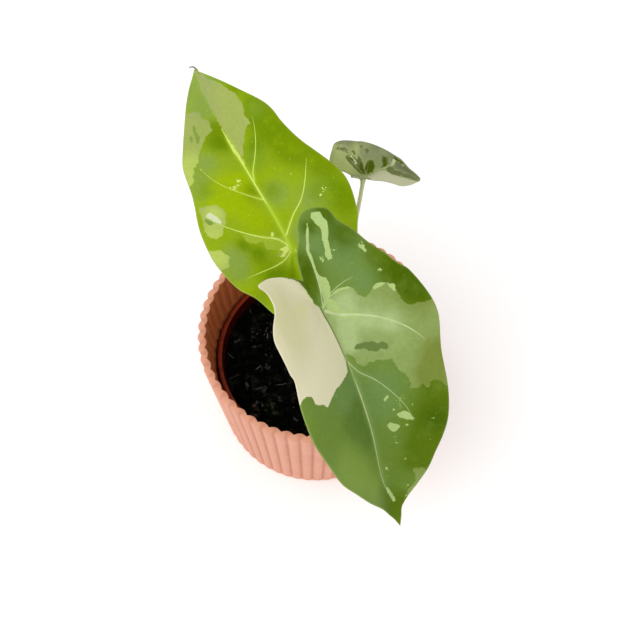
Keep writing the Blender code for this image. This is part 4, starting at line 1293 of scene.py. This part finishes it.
def blade_finish(leaf, colors, under=False):
    """Upper or lower face of a blade, painted from the markings that its mesh carries, in millimetres."""
    finish = Finish(leaf.name + ("_lower" if under else "_upper"), 0.46, 0.05)
    finish.feed(finish.shader.inputs["Specular Tint"], SHEEN_TINT)
    flat = finish.flat()
    coarse = finish.math("SUBTRACT", finish.noise(flat, 42.0, 3.0, 0.55), 0.5)
    fine = finish.math("SUBTRACT", finish.noise(flat, 150.0, 2.0, 0.5), 0.5)
    ragged = finish.math("MULTIPLY_ADD", coarse, 2.2, finish.times(fine, 1.3))

    def mark(field_name, raggedness=1.0, soft=0.12):
        depth = finish.math("ADD", finish.field(field_name), finish.times(ragged, raggedness))
        return finish.step(depth, -soft, soft)

    # Random clouds of the bluish tone that partly paints sheen
    cooler = finish.clouds(flat, 7.0, 2.0, 0.35, 0.65, 0.0, 0.2)
    paint = finish.mix(cooler, colors["base"], colors["cool"])
    mottled = finish.clouds(flat, 20.0, 4.0, 0.35, 0.65, roughness=0.6)
    pale = finish.mix(mottled, colors["pale"], colors["pale_two"])
    # Of these tones, the bluish one partly paints sheen, the deep one partly paints shade, and the dim one
    # paints shade
    for tone in ("warm", "cool", "deep", "dim", "bloom", "sunny", "lush"):
        amount = finish.capped(finish.field(tone), 0.9)
        if tone in colors:
            paint = finish.mix(amount, paint, colors[tone])
        if "pale_" + tone in colors:
            pale = finish.mix(amount, pale, colors["pale_" + tone])
    patchy = finish.clouds(flat, 13.0, 4.0, 0.48, 0.72, 0.0, 0.22, roughness=0.6)
    paint = finish.mix(patchy, paint, colors["bloom"])
    shade = finish.clouds(flat, 60.0, 4.0, 0.3, 0.7, 0.955, 1.03, roughness=0.6)
    paint = finish.mix(mark("pale"), paint, pale)
    fleck = finish.math("MULTIPLY_ADD", finish.capped(finish.field("speckle"), 1.0), 0.27, coarse)
    fleck = finish.step(finish.math("ADD", fleck, fine), 0.325, 0.365)
    paint = finish.mix(finish.math("MAXIMUM", fleck, mark("light", 0.45)), paint, colors["light"])
    paint = finish.mix(mark("dark", 0.8), paint, colors["dark"])
    paint = finish.mix(finish.times(finish.field("halo"), leaf.halo), paint, colors["halo"])
    paint = finish.mix(finish.step(finish.field("edge"), 0.5, 0.1, 0.0, 0.4), paint, colors["rim"])
    # The cream takes the warm tint, and under the deep spots a darker cream that is partly painted shade
    cream_tint_and_shade = finish.mix(finish.capped(finish.field("warm"), 0.8), colors["cream"], colors["cream_warm"])
    cream_tint_and_shade = finish.mix(finish.capped(finish.field("deep"), 0.9), cream_tint_and_shade, colors["cream_deep"])
    shaded = finish.node("ShaderNodeVectorMath", {0: paint, "Scale": shade}, operation="SCALE")
    paint = finish.mix(mark("cream", 0.6), shaded.outputs["Vector"], cream_tint_and_shade)
    if under:
        paint = finish.mix(0.55, paint, colors["under"])
    finish.color(paint)
    finish.rough(finish.clouds(flat, 60.0, 3.0, 0.3, 0.7, 0.42, 0.54))

    net = finish.node("ShaderNodeTexVoronoi", {"Vector": flat, "Scale": 34.0}, feature="DISTANCE_TO_EDGE")
    cells = finish.node("ShaderNodeTexVoronoi", {"Vector": flat, "Scale": 260.0})
    raised = finish.bump(finish.step(net.outputs["Distance"], 0.0, 0.12), 0.00006, 0.35)
    finish.relief(finish.bump(cells.outputs["Distance"], 0.00002, 0.3, raised))
    return finish.material


def rim_finish(name, colors):
    """The blade's cut edge, cream where the sector beside it is."""
    finish = Finish(name, 0.5, 0.15)
    shaded = finish.mix(finish.noise(finish.flat(), 30.0, 2.0), colors["rim"], colors["base"])
    finish.color(finish.mix(finish.step(finish.field("cream"), -0.2, 0.2), shaded, colors["cream"]))
    return finish.material


def rib_finish(name, color, other, faded=None):
    """Two mottled colours, which fade to a third one where a tube says so."""
    finish = Finish(name, 0.46, 0.06)
    mottled = finish.mix(finish.noise(finish.place(), 300.0, 3.0), color, other)
    if faded:
        mottled = finish.mix(finish.step(finish.field("fade"), FADE_START, 1.0), mottled, faded)
    finish.color(mottled)
    return finish.material


def leaf_palette(settings, leaf):
    """The colours of one leaf. Its main green, and cream where it names none, come from the settings."""
    colors = {name: srgb(*shown) for name, shown in leaf.colors.items()}
    colors["base"] = getattr(settings, leaf.name)
    colors.setdefault("cream", settings.cream)
    return colors


# Operators


class ALOCASIA_OT_cover_pot(bpy.types.Operator):
    """Make the fluted cover pot"""

    bl_idname = "alocasia.cover_pot"
    bl_label = "Cover Pot"

    def execute(self, context):
        settings = context.scene.alocasia_cover_pot
        outside = pot_finish("matt_peach_plastic", settings.color, settings.deep_color)
        # The inner face's material paints its shade and bounced light
        inside = pot_finish("peach_plastic_inside", settings.inner_shade_color, settings.inner_groove_shade_color)
        cover_pot_shell(settings, [outside, inside])
        return {"FINISHED"}


class ALOCASIA_OT_nursery_pot(bpy.types.Operator):
    """Make the nursery pot"""

    bl_idname = "alocasia.nursery_pot"
    bl_label = "Nursery Pot"

    def execute(self, context):
        settings = context.scene.alocasia_nursery_pot
        outside = nursery_finish("terracotta_plastic", settings.color)
        # The inner face's material paints its shade
        inside = nursery_finish("terracotta_plastic_inside", settings.inner_shade_color)
        nursery_pot_shell(settings, [outside, inside])
        return {"FINISHED"}


class ALOCASIA_OT_soil(bpy.types.Operator):
    """Make the soil and what lies loose on it"""

    bl_idname = "alocasia.soil"
    bl_label = "Soil"

    def execute(self, context):
        settings = context.scene.alocasia_soil
        soil_bed(settings, soil_finish(settings, "damp_soil", 0.5))
        crumb = soil_finish(settings, "soil_crumb", 0.9)
        soil_crumbs(settings, "soil_crumbs", scattered(settings.crumbs, 11, CRUMB_REACH), crumb)
        moss = rib_finish("mossy_crumb", settings.moss_color, settings.color)
        soil_crumbs(settings, "mossy_crumbs", scattered(14, 3, 0.0042, MOSSY_SPOT), moss)
        bark = rib_finish("bark_crumb", srgb(84, 66, 54), srgb(26, 20, 16))
        soil_crumbs(settings, "bark_crumbs", scattered(8, 4, 0.0030, BARK_SPOT), bark)
        bark_chips(settings, chip_finish())
        root_fibres(settings, fibre_finish(settings))
        return {"FINISHED"}


class ALOCASIA_OT_leaves(bpy.types.Operator):
    """Make the stalks and the blades"""

    bl_idname = "alocasia.leaves"
    bl_label = "Leaves"

    def execute(self, context):
        settings = context.scene.alocasia_leaves
        stem = stalk_finish(settings)
        for leaf in LEAVES:
            colors = leaf_palette(settings, leaf)
            rim = rim_finish(leaf.name + "_rim", colors)
            blade(leaf, [blade_finish(leaf, colors), blade_finish(leaf, colors, under=True), rim])
            vein = rib_finish(leaf.name + "_vein", colors["vein"], colors["halo"], colors["vein_end"])
            # Greys of the painted shade line beside the midrib, which the dry tip hook takes as its own
            # colour
            dark = rib_finish(leaf.name + "_dark_line", srgb(98, 112, 72), srgb(118, 130, 88))
            upper_veins(leaf, vein, dark)
            if leaf.hook:
                tip_hook(leaf, dark)
            ribs(leaf, rib_finish(leaf.name + "_rib", colors["under"], colors["rim"]))
            stalk(leaf, stem)
        return {"FINISHED"}


class ALOCASIA_OT_stage(bpy.types.Operator):
    """Make the floor, the lights and the camera"""

    bl_idname = "alocasia.stage"
    bl_label = "Stage"

    def execute(self, context):
        settings = context.scene.alocasia_stage
        bm = bmesh.new()
        bmesh.ops.create_grid(bm, x_segments=1, y_segments=1, size=6.0)
        floor = add_object("floor", mesh_of("floor", bm))
        finish = Finish("pale_floor", 0.9, 0.1)
        finish.color(settings.floor_color)
        finish.feed(finish.shader.inputs["Emission Color"], settings.floor_color)
        finish.feed(finish.shader.inputs["Emission Strength"], settings.floor_glow)
        floor.data.materials.append(finish.material)

        world = bpy.data.worlds.new("studio")
        world.use_nodes = True
        background = world.node_tree.nodes["Background"].inputs
        background["Color"].default_value = (1.0, 1.0, 1.0, 1.0)
        background["Strength"].default_value = settings.ambient
        context.scene.world = world
        for name, power, size, place in (
            ("key", settings.key, 0.70, Vector((-0.45, -0.25, 0.95))),
            ("fill", settings.fill, 0.90, Vector((0.75, -0.45, 0.55))),
        ):
            light = bpy.data.lights.new(name, "AREA")
            light.energy = power
            light.size = size
            lamp = add_object(name, light)
            lamp.location = place
            lamp.rotation_euler = (place - Vector((0, 0, 0.08))).to_track_quat("Z", "Y").to_euler()
        add_camera(context.scene, settings)
        context.scene.view_settings.view_transform = "Standard"
        return {"FINISHED"}


def add_camera(scene, settings):
    """A camera that looks at the middle of the pot's rim from above the near side."""
    back = Vector((0, -cos(settings.elevation), sin(settings.elevation)))
    level = Vector((1, 0, 0))
    up = back.cross(level)
    right = cos(settings.tilt) * level + sin(settings.tilt) * up
    up = cos(settings.tilt) * up - sin(settings.tilt) * level
    rim = Vector((0, 0, POT_TOP))
    place = rim + settings.distance * back - settings.aside * right + settings.above * up
    data = bpy.data.cameras.new("camera")
    data.lens = settings.lens
    data.sensor_width = 36.0
    data.clip_start = 0.01
    camera = add_object("camera", data)
    camera.matrix_world = Matrix.Translation(place) @ Matrix((right, up, back)).transposed().to_4x4()
    scene.camera = camera


class ALOCASIA_PT_panel(bpy.types.Panel):
    """Sidebar panel with the pieces and their settings"""

    bl_idname = "ALOCASIA_PT_panel"
    bl_label = "Potted Alocasia"
    bl_space_type = "VIEW_3D"
    bl_region_type = "UI"
    bl_category = "Alocasia"

    def draw(self, context):
        for step in GROUPS:
            column = self.layout.column()
            column.operator("alocasia." + step)
            settings = getattr(context.scene, "alocasia_" + step)
            for name in settings.bl_rna.properties.keys():
                if name not in {"rna_type", "name"}:
                    column.prop(settings, name)


GROUPS = {
    "cover_pot": CoverPotSettings,
    "nursery_pot": NurseryPotSettings,
    "soil": SoilSettings,
    "leaves": LeafSettings,
    "stage": StageSettings,
}

CLASSES = (
    *GROUPS.values(),
    ALOCASIA_OT_cover_pot,
    ALOCASIA_OT_nursery_pot,
    ALOCASIA_OT_soil,
    ALOCASIA_OT_leaves,
    ALOCASIA_OT_stage,
    ALOCASIA_PT_panel,
)


def register():
    for cls in CLASSES:
        bpy.utils.register_class(cls)
    for step, group in GROUPS.items():
        setattr(bpy.types.Scene, "alocasia_" + step, PointerProperty(type=group))


def unregister():
    for step in GROUPS:
        delattr(bpy.types.Scene, "alocasia_" + step)
    for cls in reversed(CLASSES):
        bpy.utils.unregister_class(cls)


def main():
    register()
    bpy.ops.alocasia.cover_pot()
    bpy.ops.alocasia.nursery_pot()
    bpy.ops.alocasia.soil()
    bpy.ops.alocasia.leaves()
    bpy.ops.alocasia.stage()


if __name__ == "__main__":
    main()
